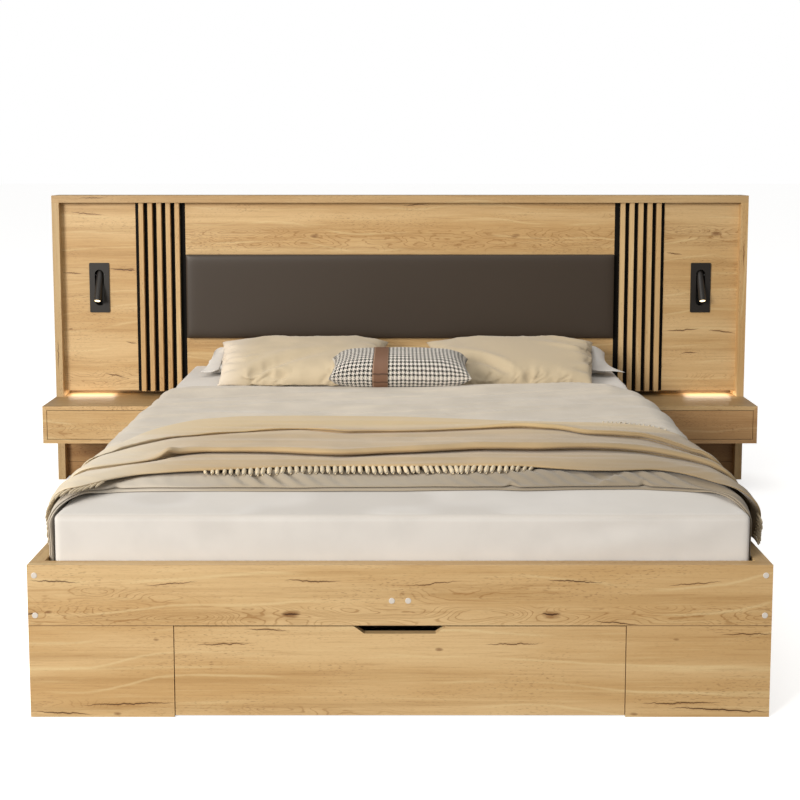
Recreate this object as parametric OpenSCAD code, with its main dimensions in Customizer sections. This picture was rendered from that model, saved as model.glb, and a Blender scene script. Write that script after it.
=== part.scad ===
// Double bed: panelled headboard with two hung nightstands and reading lamps, and a drawer at the foot.
// X runs to the right seen from the foot, Y towards the headboard, Z up.
// The origin is on the floor, in the middle of the whole footprint.

/* [Bed] */
// Width of the mattress
mattress_w = 1594; // [1400:2:1800]
// Length of the mattress
mattress_l = 2000; // [1900:1:2100]
// Thickness of the mattress
mattress_t = 160; // [120:1:200]
// Radius of the mattress edges
mattress_r = 28; // [15:1:45]
// Gap between the mattress and each side rail
side_gap = 13; // [8:1:25]
// Gap between the mattress and the footboard
foot_gap = 5; // [2:1:20]
// Gap between the mattress and the headboard panel
head_gap = 43; // [35:1:80]
// How far the mattress sinks below the top of the rails
sink = 56; // [45:1:70]
// Height of the rails' top edge above the floor
bed_h = 356; // [300:1:420]
// Height of the side rails and of the upper footboard
rail_h = 141; // [120:1:160]
// Thickness of the side rails
rail_t = 32; // [24:1:40]
// Thickness of the footboard and its corner panels
foot_t = 30; // [22:1:36]
// Thickness of the lower side panels
side_panel_t = 18; // [15:1:22]

/* [Slatted base] */
// Number of cross slats
slat_count = 14; // [10:1:18]
// Width of a cross slat
slat_w = 80; // [60:1:100]
// Thickness of a cross slat
slat_t = 12; // [9:1:18]
// Gap between a slat's end and the rail
slat_end_gap = 5; // [2:1:10]
// Distance from each end of the bed to its first slat
slat_margin = 45; // [20:1:80]
// Height and width of the bearers that carry the slats
bearer = 30; // [25:1:40]
// Width of the centre beam
beam_w = 70; // [60:1:100]
// Side of a centre leg's square section
leg_w = 45; // [35:1:60]
// Distance from the footboard to the first centre leg
leg_start = 930; // [850:1:1100]
// Distance between the two centre legs
leg_pitch = 560; // [400:1:700]

/* [Fittings] */
// Diameter of a rail screw's shank
screw_d = 6.8; // [6:0.1:8]
// Length of a rail screw under its head
screw_l = 64; // [50:1:80]
// Diameter of a screw cover cap
cap_d = 13.5; // [11:0.1:16]
// How far a cover cap stands proud
cap_proud = 0.8; // [0.5:0.1:1.5]
// Distance of a rail screw from the rail's edge
screw_edge = 24; // [18:1:35]
// Distance between the two centre beam screws
beam_screw_pitch = 37; // [25:1:45]
// Length of a corner bracket's leg
bracket_leg = 60; // [45:1:80]
// Height of a corner bracket
bracket_h = 36; // [28:1:38]
// Sheet thickness of a corner bracket
bracket_t = 2.5; // [2:0.1:4]

/* [Foot drawer] */
// Width of the drawer bay between the corner panels
bay_w = 1028; // [900:2:1100]
// Gap between the drawer box and the stretcher behind it
bay_gap = 43.5; // [15:0.5:100]
// Thickness of the bay's boards
bay_t = 18; // [15:1:22]
// Length of the drawer box behind its front
box_l = 590; // [500:1:600]
// Height of the drawer box
box_h = 160; // [120:1:170]
// Thickness of the drawer front
front_t = 18; // [15:1:22]
// Thickness of the drawer box boards
box_t = 15; // [12:1:18]
// Thickness of the drawer bottom
bottom_t = 6; // [4:1:8]
// Clearance of the drawer front above the floor
front_floor_gap = 4; // [3:1:10]
// Clearance of the drawer box above the floor
box_floor_gap = 22; // [16:1:30]
// Width of the grip cut-out at its bottom
grip_w = 162; // [120:1:200]
// How much wider the cut-out is at its top, each side
grip_flare = 24; // [10:1:35]
// Depth of the grip cut-out
grip_d = 17; // [14:0.5:24]
// Gap round a drawer front
reveal = 2; // [1:0.1:3]

/* [Drawer slides] */
// Gap between a drawer box and the wall beside it, filled by the slide
slide_gap = 12.7; // [12:0.1:14]
// Depth of the fixed channel
channel_d = 10.5; // [9.5:0.1:11]
// Height of the foot drawer's channels
foot_slide_h = 44; // [36:1:50]
// Height of the nightstand drawers' channels
stand_slide_h = 34; // [30:1:38]
// Sheet thickness of the slides
slide_t = 1.2; // [1:0.1:1.6]
// Width of the channel's lips
slide_lip = 4; // [3:0.1:5]
// Running clearance between the two slide members
slide_play = 0.4; // [0.3:0.05:0.6]

/* [Headboard] */
// Height of the headboard
head_h = 1127; // [1000:1:1300]
// Depth of the headboard
head_d = 110; // [95:1:150]
// Thickness of the headboard's frame boards
frame_t = 28; // [22:1:36]
// How far the panels lie behind the frame's front edge
recess = 28; // [20:1:40]
// Thickness of the headboard panels
panel_t = 18; // [15:1:22]
// Thickness of the boards that close the back
back_t = 12; // [6:1:16]
// Thickness of the battens between the panels and the back
batten_t = 18; // [15:1:22]
// Clearance of the panels above the floor
floor_gap = 8; // [4:1:30]
// Width of a wing panel
wing_w = 292; // [220:1:400]
// Height of the plinth board under a lower panel
plinth_h = 56; // [40:1:90]
// Open joint between the plinth board and the lower panel
plinth_joint = 1.5; // [0.8:0.1:3]

/* [Fluted strips] */
// Width of a black backing beside the centre panel
flute_bay_w = 195; // [185:1:230]
// Number of oak strips on a backing
flute_count = 5; // [3:1:5]
// Width of a strip
flute_w = 18; // [12:1:22]
// How far a strip stands out
flute_proud = 18; // [10:1:24]
// Distance from strip to strip
flute_pitch = 35.2; // [30:0.1:38]
// Distance from the backing's inner edge to the first strip
flute_start = 20.5; // [5:0.5:24]

/* [Upholstered panel] */
// Gap at each side of the upholstered panel
pad_side_gap = 3; // [1:1:10]
// Height of the panel's lower edge above the floor
pad_z = 566; // [540:1:640]
// Height of the upholstered panel
pad_h = 329; // [250:1:400]
// Thickness of its backing board
pad_board_t = 10; // [6:1:15]
// Thickness of the padding at its crown
pad_crown = 18; // [12:1:30]
// Thickness of the padding at its rim
pad_rim = 8; // [5:1:10]

/* [Nightstands] */
// Height of a nightstand's top face above the floor
stand_z = 334; // [300:1:400]
// Height of a nightstand
stand_h = 143; // [130:1:170]
// How far a nightstand stands out from the headboard's frame
stand_out = 190; // [175:1:300]
// Board thickness of a nightstand
stand_t = 15; // [12:1:18]
// Gap between a nightstand and the side rail
stand_gap = 4; // [2:1:12]
// Light gap between a nightstand's top and the panel over it
light_gap = 20; // [12:1:30]
// Height of a nightstand's drawer box
stand_box_h = 80; // [60:1:86]
// Thickness of a nightstand's drawer box boards
stand_box_t = 12; // [10:1:15]

/* [Lamps] */
// Width of a lamp's wall plate
plate_w = 78; // [70:1:90]
// Height of a lamp's wall plate
plate_h = 196; // [180:1:220]
// Thickness of the wall plate
plate_t = 4; // [2:0.5:6]
// Height of the plate's centre above the floor
plate_z = 764; // [700:1:850]
// Width of the recess that the tube folds into
niche_w = 36; // [32:1:40]
// Height of the recess
niche_h = 142; // [138:1:150]
// Depth of the recess behind the plate
niche_d = 38; // [34:1:44]
// Wall thickness of the recessed cup
cup_t = 2; // [1.5:0.5:3]
// Clearance between the cup and the cut-out in the wing panel
cup_gap = 2; // [1:0.5:4]
// Diameter of the lamp tube
tube_d = 28; // [24:1:30]
// Length of the lamp tube
tube_l = 126; // [110:1:128]
// Distance from the tube's top end to its pivot
pivot_in = 16; // [12:1:18]
// How far the tube leans out at rest, as in use, in degrees
tube_lean = 28; // [0:1:60]
// Diameter of the pivot pin
pin_d = 5; // [4:0.5:6]
// Radial clearance of the tube on its pin
pin_play = 0.1; // [0.05:0.01:0.1]
// Diameter of the lens
lens_d = 22; // [18:0.5:23]
// Thickness of the lens
lens_t = 3; // [2:0.5:4]

/* [Light strips] */
// Width of the light strip's channel
led_w = 14; // [12:1:20]
// Height of the light strip's channel
led_h = 8; // [6:1:12]
// Wall thickness of the light strip's channel
led_t = 1.2; // [1:0.1:2]
// Length of a power unit
unit_l = 130; // [100:1:160]
// Depth of a power unit
unit_d = 26; // [18:1:34]
// Height of a power unit
unit_h = 42; // [30:1:60]
// Height of a power unit above the wing panel's lower edge
unit_z = 40; // [20:1:100]

/* [Bedding] */
// Thickness of the folded duvet
duvet_t = 22; // [15:1:35]
// Distance from the mattress's foot end to the duvet's hem
duvet_start = 180; // [60:1:300]
// Distance from the duvet's head edge to the mattress's head end
duvet_end = 575; // [560:1:700]
// Thickness of the throw
throw_t = 9; // [6:1:15]
// Distance from the mattress's foot end to the throw's hem
throw_start = 338; // [250:1:500]
// Length of bed that the throw covers
throw_l = 562; // [480:1:750]
// How far the duvet's foot hem sweeps towards the foot at the bed's sides
duvet_sweep = 150; // [0:1:155]
// How far the throw's foot hem sweeps there
throw_sweep = 200; // [0:1:220]
// How far the throw's head hem sweeps there
throw_head_sweep = 400; // [0:1:420]
// How far the hanging cloth stands out from the mattress at its hem
hang_out = 24; // [10:1:35]
// Height of the throw's folds
fold_h = 16; // [5:1:25]
// Width of a cream pillow
pillow_w = 625; // [550:1:660]
// Depth of a cream pillow
pillow_d = 430; // [380:1:450]
// Thickness of a cream pillow
pillow_t = 130; // [100:1:140]
// How far a cream pillow leans back, in degrees
pillow_lean = 12; // [8:0.5:20]
// Distance from a cream pillow's middle to the mattress's head end
pillow_set_in = 260; // [240:1:300]
// Width of a white pillow behind it
case_w = 660; // [580:1:680]
// Depth of a white pillow
case_d = 224; // [180:1:226]
// Thickness of a white pillow
case_t = 62; // [40:1:64]
// Width of the lumbar cushion
lumbar_w = 490; // [400:1:560]
// Height of the lumbar cushion
lumbar_d = 230; // [200:1:260]
// Thickness of the lumbar cushion
lumbar_t = 84; // [60:1:100]
// How far the lumbar cushion leans back, in degrees
lumbar_lean = 24; // [15:1:35]
// Distance from the duvet's head edge to the lumbar cushion's middle
lumbar_set_in = 80; // [60:1:85]

/* [Hidden] */

// Colours
OAK = "#d2ac76";
BLACK = "#17120f";
PAD_BROWN = "#4a4035";
LAMP_BLACK = "#2c2826";
STEEL = "#a8abae";
WHITE_BOARD = "#ece7df";
PINE = "#e0c79b";
WARM_LIGHT = "#ffe9b8";
SHEET_WHITE = "#e4dcd2";
DUVET_GREY = "#d6d0c9";
THROW_BEIGE = "#c8b291";
CREAM = "#e2ceac";
CHECK_GREY = "#8f8c88";

// Small fits
TOUCH = 0.3;              // a soft piece lies this far off what carries it
HOLE_PLAY = 0.2;          // radial clearance of a fixed screw in its hole
JOINT = 0.1;              // glue line between boards of one node
EPS = 0.5;                // a cut runs this far past the face it opens
SMOOTH = 48;              // segments of a true circle
front_set_back = 0.5;     // a closed drawer front lies this far behind the face round it

// Across the bed, measured from the middle
mattress_x = mattress_w / 2;
rail_in = mattress_x + side_gap;
rail_out = rail_in + rail_t;
flute_out = rail_out + flute_bay_w;
wing_out = flute_out + wing_w;
head_x = wing_out + frame_t;
stand_in = rail_out + stand_gap;
bay_x = bay_w / 2;
wing_mid = (flute_out + wing_out) / 2;

// Along the bed
inner_l = foot_gap + mattress_l + head_gap;
total_l = cap_proud + foot_t + inner_l + head_d - recess;
foot_front = -total_l / 2 + cap_proud;
foot_back = foot_front + foot_t;
panel_front = foot_back + inner_l;
panel_back = panel_front + panel_t;
frame_front = panel_front - recess;
head_back = frame_front + head_d;
void_back = head_back - back_t;
mattress_foot = foot_back + foot_gap;
stand_front = frame_front - stand_out;

// Up from the floor
seam_z = bed_h - rail_h;
slat_top = bed_h - sink;
bearer_top = slat_top - slat_t;
bearer_z = bearer_top - bearer;
mattress_top = slat_top + mattress_t;
stand_low = stand_z - stand_h;
wing_z = stand_z + light_gap;
panel_top = head_h - frame_t;

// Screws: [x, z] of each one in the footboard
rail_screw_x = rail_in + rail_t / 2;
screw_places = [
    for (x = [-rail_screw_x, rail_screw_x], z = [seam_z + screw_edge, bed_h - screw_edge]) [x, z],
    for (x = [-beam_screw_pitch / 2, beam_screw_pitch / 2]) [x, bearer_z + bearer / 2]
];
cap_lip = 0.6;            // a cap covers this much round its counterbore
sink_d = cap_d - 2 * cap_lip;
sink_depth = 6;           // depth of the counterbore
head_screw_d = sink_d - 1.4;
head_screw_t = 2.2;

// Foot drawer
drawer_x = bay_x - slide_gap;              // outer face of the box side
drawer_front_back = foot_front + front_set_back + front_t;
box_z = box_floor_gap;
foot_slide_l = box_l - 10;
slide_set_in = 4;                          // slides start this far behind the drawer front
stop_gap = 2;                              // moving member's clearance to the end stop
groove_d = box_t / 2;
groove_up = 10;                            // drawer bottoms sit this far above the box's lower edge
panel_play = 0.2;                          // a bottom panel's clearance in its grooves

// Nightstand drawer
stand_drawer_back = frame_front - 6;
stand_front_back = stand_front + front_set_back + stand_t;
stand_box_l = stand_drawer_back - stand_front_back;
stand_slide_l = stand_box_l - 8;
stand_wall_in = stand_in + stand_t;        // inner face of the wall beside the bed
stand_wall_out = head_x - stand_t;         // inner face of the outer wall
stand_box_in = stand_wall_in + slide_gap;
stand_box_out = stand_wall_out - slide_gap;
stand_mid_z = stand_low + stand_h / 2;
stand_box_z = stand_mid_z - stand_box_h / 2;
stand_bottom_t = 5;

// Bedding: what it lies on, and where the cushions' middles are across the bed
mattress_head = mattress_foot + mattress_l;
sheet_top = mattress_top + TOUCH;
duvet_top = sheet_top + TOUCH + duvet_t;
duvet_head = mattress_head - duvet_end;
duvet_l = duvet_head - mattress_foot - duvet_start;
pillow_places = [-352, 405];
back_places = [-400, 440];

// Lamp
niche_top = plate_z + niche_h / 2;
tube_gap = 6.5;           // between the folded tube's top and the recess
tube_proud = 1;           // the pivot lies this far in front of the folded tube's half depth
pivot_z = niche_top - pivot_in - tube_gap;
pivot_y = panel_front - plate_t + tube_d / 2 + tube_proud;

// ---- Helpers ----

// Draws its children on the chosen side: 1 is right, -1 is left
module on_side(s) {
    mirror([s < 0 ? 1 : 0, 0, 0]) children();
}

// Draws its children on both sides of the bed
module both_sides() {
    for (s = [-1, 1]) on_side(s) children();
}

// A board given by its two opposite corners
module board(low, high) {
    translate(low) cube(high - low);
}

// A profile drawn in X and Z, run along Y from y0 over the length l
module along_y(y0, l) {
    translate([0, y0 + l, 0]) rotate([90, 0, 0]) linear_extrude(l) children();
}

// A flat outline with two half-round ends, standing on end
module stadium(w, h) {
    square([w, h - w], center = true);
    for (s = [-1, 1]) translate([0, s * (h - w) / 2]) circle(d = w, $fn = SMOOTH);
}

// ---- Bed frame ----

// Hole for one screw through the footboard, with the counterbore for its cap
module foot_screw_hole() {
    rotate([-90, 0, 0]) {
        translate([0, 0, -EPS]) cylinder(d = sink_d + 2 * HOLE_PLAY, h = sink_depth + EPS, $fn = SMOOTH);
        cylinder(d = screw_d + 2 * HOLE_PLAY, h = foot_t + EPS, $fn = SMOOTH);
    }
}

// Blind hole for a screw's point, in the end of a rail or beam
module end_screw_hole() {
    depth = screw_l + sink_depth - foot_t + 4;
    rotate([-90, 0, 0]) translate([0, 0, -EPS])
        cylinder(d = screw_d + 2 * HOLE_PLAY, h = depth + EPS, $fn = SMOOTH);
}

// Upper board of the footboard
module footboard_rail() {
    color(OAK) difference() {
        board([-rail_out, foot_front, seam_z], [rail_out, foot_back, bed_h]);
        for (p = screw_places) translate([p[0], foot_front, p[1]]) foot_screw_hole();
    }
}

// The two lower corner panels that the footboard stands on
module foot_panels() {
    color(OAK) both_sides() board([bay_x, foot_front, 0], [rail_out, foot_back, seam_z]);
}

// One side rail
module rail(s) {
    color(OAK) difference() {
        on_side(s) board([rail_in, foot_back, seam_z], [rail_out, panel_front, bed_h]);
        for (p = screw_places) if (p[0] * s > rail_in) translate([p[0], foot_back, p[1]]) end_screw_hole();
    }
}

// Lower side panels, under the rails and flush with their outer faces
module side_panels() {
    color(OAK) both_sides()
        board([rail_out - side_panel_t, foot_back, 0], [rail_out, panel_front, seam_z]);
}

// Bearers along the rails' inner faces
module slat_bearers() {
    color(PINE) both_sides() board([rail_in - bearer, foot_back, bearer_z], [rail_in, panel_front, bearer_top]);
}

// Beam under the middle of the slats
module centre_beam() {
    color(PINE) difference() {
        board([-beam_w / 2, foot_back, bearer_z], [beam_w / 2, panel_front, bearer_top]);
        for (p = screw_places) if (abs(p[0]) < beam_w / 2) translate([p[0], foot_back, p[1]]) end_screw_hole();
    }
}

// Two legs under the centre beam
module centre_legs() {
    color(PINE) for (i = [0, 1]) translate([-leg_w / 2, foot_back + leg_start + i * leg_pitch, 0])
        cube([leg_w, leg_w, bearer_z]);
}

// Cross slats with eased edges
module bed_slats() {
    ease = 2;
    step = (inner_l - 2 * slat_margin - slat_w) / (slat_count - 1);
    slat_x = rail_in - slat_end_gap;
    color(PINE) for (i = [0 : slat_count - 1])
        translate([-slat_x, foot_back + slat_margin + i * step, bearer_top])
            rotate([90, 0, 90]) linear_extrude(2 * slat_x)
                polygon([[0, 0], [slat_w, 0], [slat_w, slat_t - ease], [slat_w - ease, slat_t],
                         [ease, slat_t], [0, slat_t - ease]]);
}

// Walls of the drawer bay and the stretcher that joins them at the back
module bay_boards() {
    bay_end = drawer_front_back + box_l + bay_gap + bay_t;
    color(WHITE_BOARD) {
        both_sides() board([bay_x, foot_back, 0], [bay_x + bay_t, bay_end, seam_z]);
        board([JOINT - bay_x, bay_end - bay_t, 0], [bay_x - JOINT, bay_end, seam_z]);
    }
}

// One steel angle, its corner at the origin and its legs along +X and +Y
module angle_bracket() {
    hole_d = 5;
    difference() {
        union() {
            cube([bracket_leg, bracket_t, bracket_h]);
            cube([bracket_t, bracket_leg, bracket_h]);
        }
        for (x = [bracket_leg * 0.4, bracket_leg * 0.8]) {
            translate([x, -EPS, bracket_h / 2]) rotate([-90, 0, 0])
                cylinder(d = hole_d, h = bracket_t + 2 * EPS, $fn = SMOOTH);
            translate([-EPS, x, bracket_h / 2]) rotate([0, 90, 0])
                cylinder(d = hole_d, h = bracket_t + 2 * EPS, $fn = SMOOTH);
        }
    }
}

// Angles in the four inner corners of the frame, under the bearers
module corner_brackets() {
    z = bearer_z - bracket_h - 2;
    color(STEEL) both_sides() {
        translate([rail_in, foot_back, z]) mirror([1, 0, 0]) angle_bracket();
        translate([rail_in, panel_front, z]) mirror([0, 1, 0]) mirror([1, 0, 0]) angle_bracket();
    }
}

// Screws that hold the footboard to the rails and the beam
module rail_screws() {
    color(STEEL) for (p = screw_places) translate([p[0], foot_front + sink_depth, p[1]]) {
        rotate([90, 0, 0]) cylinder(d = head_screw_d, h = head_screw_t, $fn = SMOOTH);
        rotate([-90, 0, 0]) cylinder(d = screw_d, h = screw_l, $fn = SMOOTH);
    }
}

// White caps over the screw heads: a thin disc with a plug behind it
module screw_caps() {
    plug_l = sink_depth - head_screw_t - 0.3;
    color("white") for (p = screw_places) translate([p[0], foot_front, p[1]]) {
        rotate([90, 0, 0]) rotate_extrude($fn = SMOOTH)
            polygon([[0, 0], [cap_d / 2, 0], [cap_d / 2, cap_proud / 2],
                     [cap_d / 2 - cap_proud, cap_proud], [0, cap_proud]]);
        rotate([-90, 0, 0]) cylinder(d = sink_d, h = plug_l, $fn = SMOOTH);
    }
}

// ---- Drawer slides ----

// Section of the fixed channel, its back on X = 0 and open towards +X
module channel_section(h) {
    polygon([
        [0, -h / 2], [channel_d, -h / 2], [channel_d, -h / 2 + slide_lip],
        [channel_d - slide_t, -h / 2 + slide_lip], [channel_d - slide_t, -h / 2 + slide_t],
        [slide_t, -h / 2 + slide_t], [slide_t, h / 2 - slide_t],
        [channel_d - slide_t, h / 2 - slide_t], [channel_d - slide_t, h / 2 - slide_lip],
        [channel_d, h / 2 - slide_lip], [channel_d, h / 2], [0, h / 2]
    ]);
}

// Section of the moving member: a web on the drawer's side and two glides inside the channel
module glide_section(h) {
    neck = h / 2 - slide_lip - slide_play;
    foot = h / 2 - slide_t - slide_play;
    near = slide_t + slide_play;
    far = channel_d - slide_t - slide_play;
    polygon([
        [slide_gap, -neck], [slide_gap, neck], [far, neck], [far, foot], [near, foot],
        [near, neck - slide_t], [slide_gap - slide_t, neck - slide_t],
        [slide_gap - slide_t, slide_t - neck], [near, slide_t - neck], [near, -foot],
        [far, -foot], [far, -neck]
    ]);
}

// Fixed channel with its end stop
module fixed_slide(l, h) {
    along_y(0, l) channel_section(h);
    along_y(l, slide_t) translate([0, -h / 2]) square([channel_d, h]);
}

// Moving member, drawn in its closed place
module moving_slide(l, h) {
    along_y(0, l - stop_gap) glide_section(h);
}

// Places for a pair of slides: one on each wall, both open towards the drawer between them
module slide_pair(wall_low, wall_high, y, z) {
    translate([wall_low, y, z]) children();
    translate([wall_high, y, z]) mirror([1, 0, 0]) children();
}

module at_foot_slides() {
    slide_pair(-bay_x, bay_x, drawer_front_back + slide_set_in, box_z + box_h / 2) children();
}

module at_stand_slides(s) {
    on_side(s) slide_pair(stand_wall_in, stand_wall_out, stand_front_back + slide_set_in, stand_mid_z)
        children();
}

// The channels of all three drawers
module fixed_slides() {
    color(STEEL) {
        at_foot_slides() fixed_slide(foot_slide_l, foot_slide_h);
        for (s = [-1, 1]) at_stand_slides(s) fixed_slide(stand_slide_l, stand_slide_h);
    }
}

// ---- Foot drawer ----

// Drawer front with the slanted grip cut-out in its top edge
module foot_drawer_front() {
    w = bay_x - reveal;
    top = seam_z - reveal;
    color(OAK) difference() {
        board([-w, foot_front + front_set_back, front_floor_gap], [w, drawer_front_back, top]);
        along_y(foot_front, front_t + front_set_back + EPS) translate([0, top])
            polygon([[-grip_w / 2, -grip_d], [grip_w / 2, -grip_d],
                     [grip_w / 2 + grip_flare, EPS], [-grip_w / 2 - grip_flare, EPS]]);
        grooves_foot();
    }
}

// Slots that the foot drawer's bottom slides into
module grooves_foot() {
    board([-drawer_x + box_t - groove_d, drawer_front_back - groove_d, box_z + groove_up],
          [drawer_x - box_t + groove_d, drawer_front_back + box_l - box_t + groove_d,
           box_z + groove_up + bottom_t + panel_play]);
}

// Sides and back of the foot drawer's box
module foot_drawer_box() {
    back = drawer_front_back + box_l;
    color(WHITE_BOARD) {
        both_sides() difference() {
            board([drawer_x - box_t, drawer_front_back, box_z], [drawer_x, back, box_z + box_h]);
            grooves_foot();
        }
        difference() {
            board([-drawer_x + box_t + JOINT, back - box_t, box_z],
                  [drawer_x - box_t - JOINT, back, box_z + box_h]);
            grooves_foot();
        }
    }
}

// Bottom panel in its grooves
module foot_drawer_bottom() {
    x = drawer_x - box_t + groove_d - panel_play;
    color(WHITE_BOARD)
        board([-x, drawer_front_back - groove_d + panel_play, box_z + groove_up],
              [x, drawer_front_back + box_l - box_t + groove_d - panel_play, box_z + groove_up + bottom_t]);
}

module foot_drawer_slides() {
    color(STEEL) at_foot_slides() moving_slide(foot_slide_l, foot_slide_h);
}

// ---- Headboard ----

// Frame board at one side, from the floor to the top board
module head_side(s) {
    color(OAK) on_side(s) board([wing_out, frame_front, 0], [head_x, head_back, panel_top]);
}

module head_top() {
    color(OAK) board([-head_x, frame_front, panel_top], [head_x, head_back, head_h]);
}

// Large panel behind the bed
module centre_panel() {
    color(OAK) board([-rail_out, panel_front, floor_gap], [rail_out, panel_back, panel_top]);
}

// Black boards that the fluted strips stand on
module slat_backings() {
    color(BLACK) both_sides() board([rail_out, panel_front, wing_z], [flute_out, panel_back, panel_top]);
}

// Oak strips on one backing, with eased front edges
module fluted_strips(s) {
    ease = 1;
    first = rail_out + flute_start;
    color(OAK) on_side(s) for (i = [0 : flute_count - 1])
        translate([first + i * flute_pitch, panel_front - flute_proud, wing_z])
            linear_extrude(panel_top - wing_z)
                polygon([[ease, 0], [flute_w - ease, 0], [flute_w, ease], [flute_w, flute_proud],
                         [0, flute_proud], [0, ease]]);
}

// Wing panel with the cut-out for its lamp's cup
module wing_panel(s) {
    cut = cup_t + cup_gap;
    color(OAK) on_side(s) difference() {
        board([flute_out, panel_front, wing_z], [wing_out, panel_back, panel_top]);
        translate([wing_mid, 0, plate_z]) along_y(panel_front - EPS, panel_t + 2 * EPS)
            stadium(niche_w + 2 * cut, niche_h + 2 * cut);
    }
}

// Panels under the nightstands, each over its plinth board
module lower_panels() {
    joint_z = floor_gap + plinth_h;
    color(OAK) both_sides() {
        board([rail_out, panel_front, floor_gap], [wing_out, panel_back, joint_z]);
        board([rail_out, panel_front, joint_z + plinth_joint], [wing_out, panel_back, stand_low]);
    }
}

// Upright battens that space the back boards from the panels
module head_battens() {
    color(PINE) {
        board([-batten_t / 2, panel_back, floor_gap], [batten_t / 2, void_back, panel_top]);
        both_sides() {
            board([rail_out - batten_t, panel_back, floor_gap], [rail_out, void_back, panel_top]);
            for (x = [flute_out - batten_t / 2, wing_out - batten_t]) {
                board([x, panel_back, wing_z], [x + batten_t, void_back, panel_top]);
                board([x, panel_back, floor_gap], [x + batten_t, void_back, stand_low]);
            }
        }
    }
}

// Three boards that close the back
module back_boards() {
    color(WHITE_BOARD) {
        board([-rail_out, void_back, floor_gap], [rail_out, head_back, panel_top]);
        both_sides() board([rail_out + JOINT, void_back, floor_gap], [wing_out, head_back, panel_top]);
    }
}

// ---- Soft forms ----

// Faces of a closed shell: a grid of outer points, then the same grid of inner points
function shell_faces(rows, cols) =
    let (n = rows * cols)
    concat(
        [for (r = [0 : rows - 2], c = [0 : cols - 2]) let (i = r * cols + c)
            each [[i, i + cols, i + cols + 1], [i, i + cols + 1, i + 1],
                  [n + i, n + i + cols + 1, n + i + cols], [n + i, n + i + 1, n + i + cols + 1]]],
        [for (c = [0 : cols - 2]) let (i = c, j = (rows - 1) * cols + c)
            each [[i, i + 1, n + i + 1], [i, n + i + 1, n + i],
                  [j, n + j + 1, j + 1], [j, n + j, n + j + 1]]],
        [for (r = [0 : rows - 2]) let (i = r * cols, j = r * cols + cols - 1)
            each [[i, n + i + cols, i + cols], [i, n + i, n + i + cols],
                  [j, j + cols, n + j + cols], [j, n + j + cols, n + j]]]
    );

// A closed form between an upper and a lower grid of points
module soft_shell(upper, lower) {
    rows = len(upper);
    cols = len(upper[0]);
    polyhedron(points = concat([for (r = upper) each r], [for (r = lower) each r]),
               faces = shell_faces(rows, cols), convexity = 4);
}

// Point of a cushion's surface, u and v from -1 to 1: full is 1 for the upper half, and for the lower
// half minus the share of the upper crown that is left where the cushion settles on what is under it
function cushion_point(size, u, v, full, rim = 5, draw_in = 0.07) =
    let (crown = pow((1 - pow(abs(u), 2.8)) * (1 - pow(abs(v), 2.8)), 0.42))
    [size[0] / 2 * u * (1 - draw_in * (1 - v * v) * pow(abs(u), 3)),
     size[1] / 2 * v * (1 - draw_in * (1 - u * u) * pow(abs(v), 3)),
     sign(full) * rim / 2 + full * (size[2] - rim) / 2 * crown];

// Parameters spaced closer towards -1 and 1
function eased(i, n) = sin(90 * (2 * i / n - 1));

// One half of a cushion's surface as a grid of points
function cushion_half(size, full, cols, rows) = [for (r = [0 : rows]) [for (c = [0 : cols])
    cushion_point(size, eased(c, cols), eased(r, rows), full)]];

// Crowned cushion with drawn-in sides, leaning back so far that its lowest point lies a soft fit over
// the height z; at is its middle in X and Y, and belly the share of the crown on its underside
module cushion(size, belly, lean, at, z, cols, rows) {
    under = cushion_half(size, -belly, cols, rows);
    lowest = min([for (r = under, p = r) p[1] * sin(lean) + p[2] * cos(lean)]);
    translate([at[0], at[1], z + TOUCH - lowest]) rotate([lean, 0, 0])
        soft_shell(cushion_half(size, 1, cols, rows), under);
}

// Padding of the upholstered panel: flat at its back, crowned and rounded off in front
module headboard_pad() {
    x = rail_out - pad_side_gap;
    cols = 18;
    rows = 8;
    back = panel_front - pad_board_t;
    function swell(u, v) = pow((1 - pow(abs(u), 24)) * (1 - pow(abs(v), 8)), 0.5);
    front = [for (r = [0 : rows]) [for (c = [0 : cols])
        let (u = eased(c, cols), v = eased(r, rows))
        [x * u, back - pad_rim - (pad_crown - pad_rim) * swell(u, v), pad_z + pad_h * (v + 1) / 2]]];
    rear = [for (r = [0 : rows]) [for (c = [0 : cols])
        [x * eased(c, cols), back, pad_z + pad_h * (eased(r, rows) + 1) / 2]]];
    color(PAD_BROWN) soft_shell(front, rear);
}

module pad_board() {
    x = rail_out - pad_side_gap;
    color(WHITE_BOARD) board([-x, panel_front - pad_board_t, pad_z], [x, panel_front, pad_z + pad_h]);
}

// Sprung mattress in its fitted sheet
module mattress() {
    x = mattress_x - mattress_r;
    color(SHEET_WHITE) hull()
        for (sx = [-x, x], y = [mattress_r, mattress_l - mattress_r], z = [mattress_r, mattress_t - mattress_r])
            translate([sx, mattress_foot + y, slat_top + TOUCH + z]) sphere(r = mattress_r, $fn = 32);
}

// Half of the line that cloth follows over the mattress, as [x, z] points from the middle out:
// lift is how far it lies off the mattress, end_z is where it hangs down to, out is its flare there
function drape_line(lift, end_z, out) =
    let (flat = mattress_x - mattress_r, r = mattress_r + lift, pivot = mattress_top + TOUCH - mattress_r)
    concat(
        [for (i = [0 : 7]) [flat * i / 7, pivot + r]],
        [for (a = [75 : -15 : 15]) [flat + r * cos(a), pivot + r * sin(a)]],
        [for (t = [0, 0.3, 0.65, 1]) [flat + r + out * sin(90 * t), pivot + (end_z - pivot) * t]]
    );

// The same line from the left hem to the right hem
function full_line(lift, end_z, out) =
    let (half = drape_line(lift, end_z, out), n = len(half))
    concat([for (i = [n - 1 : -1 : 1]) [-half[i][0], half[i][1]]], half);

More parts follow.
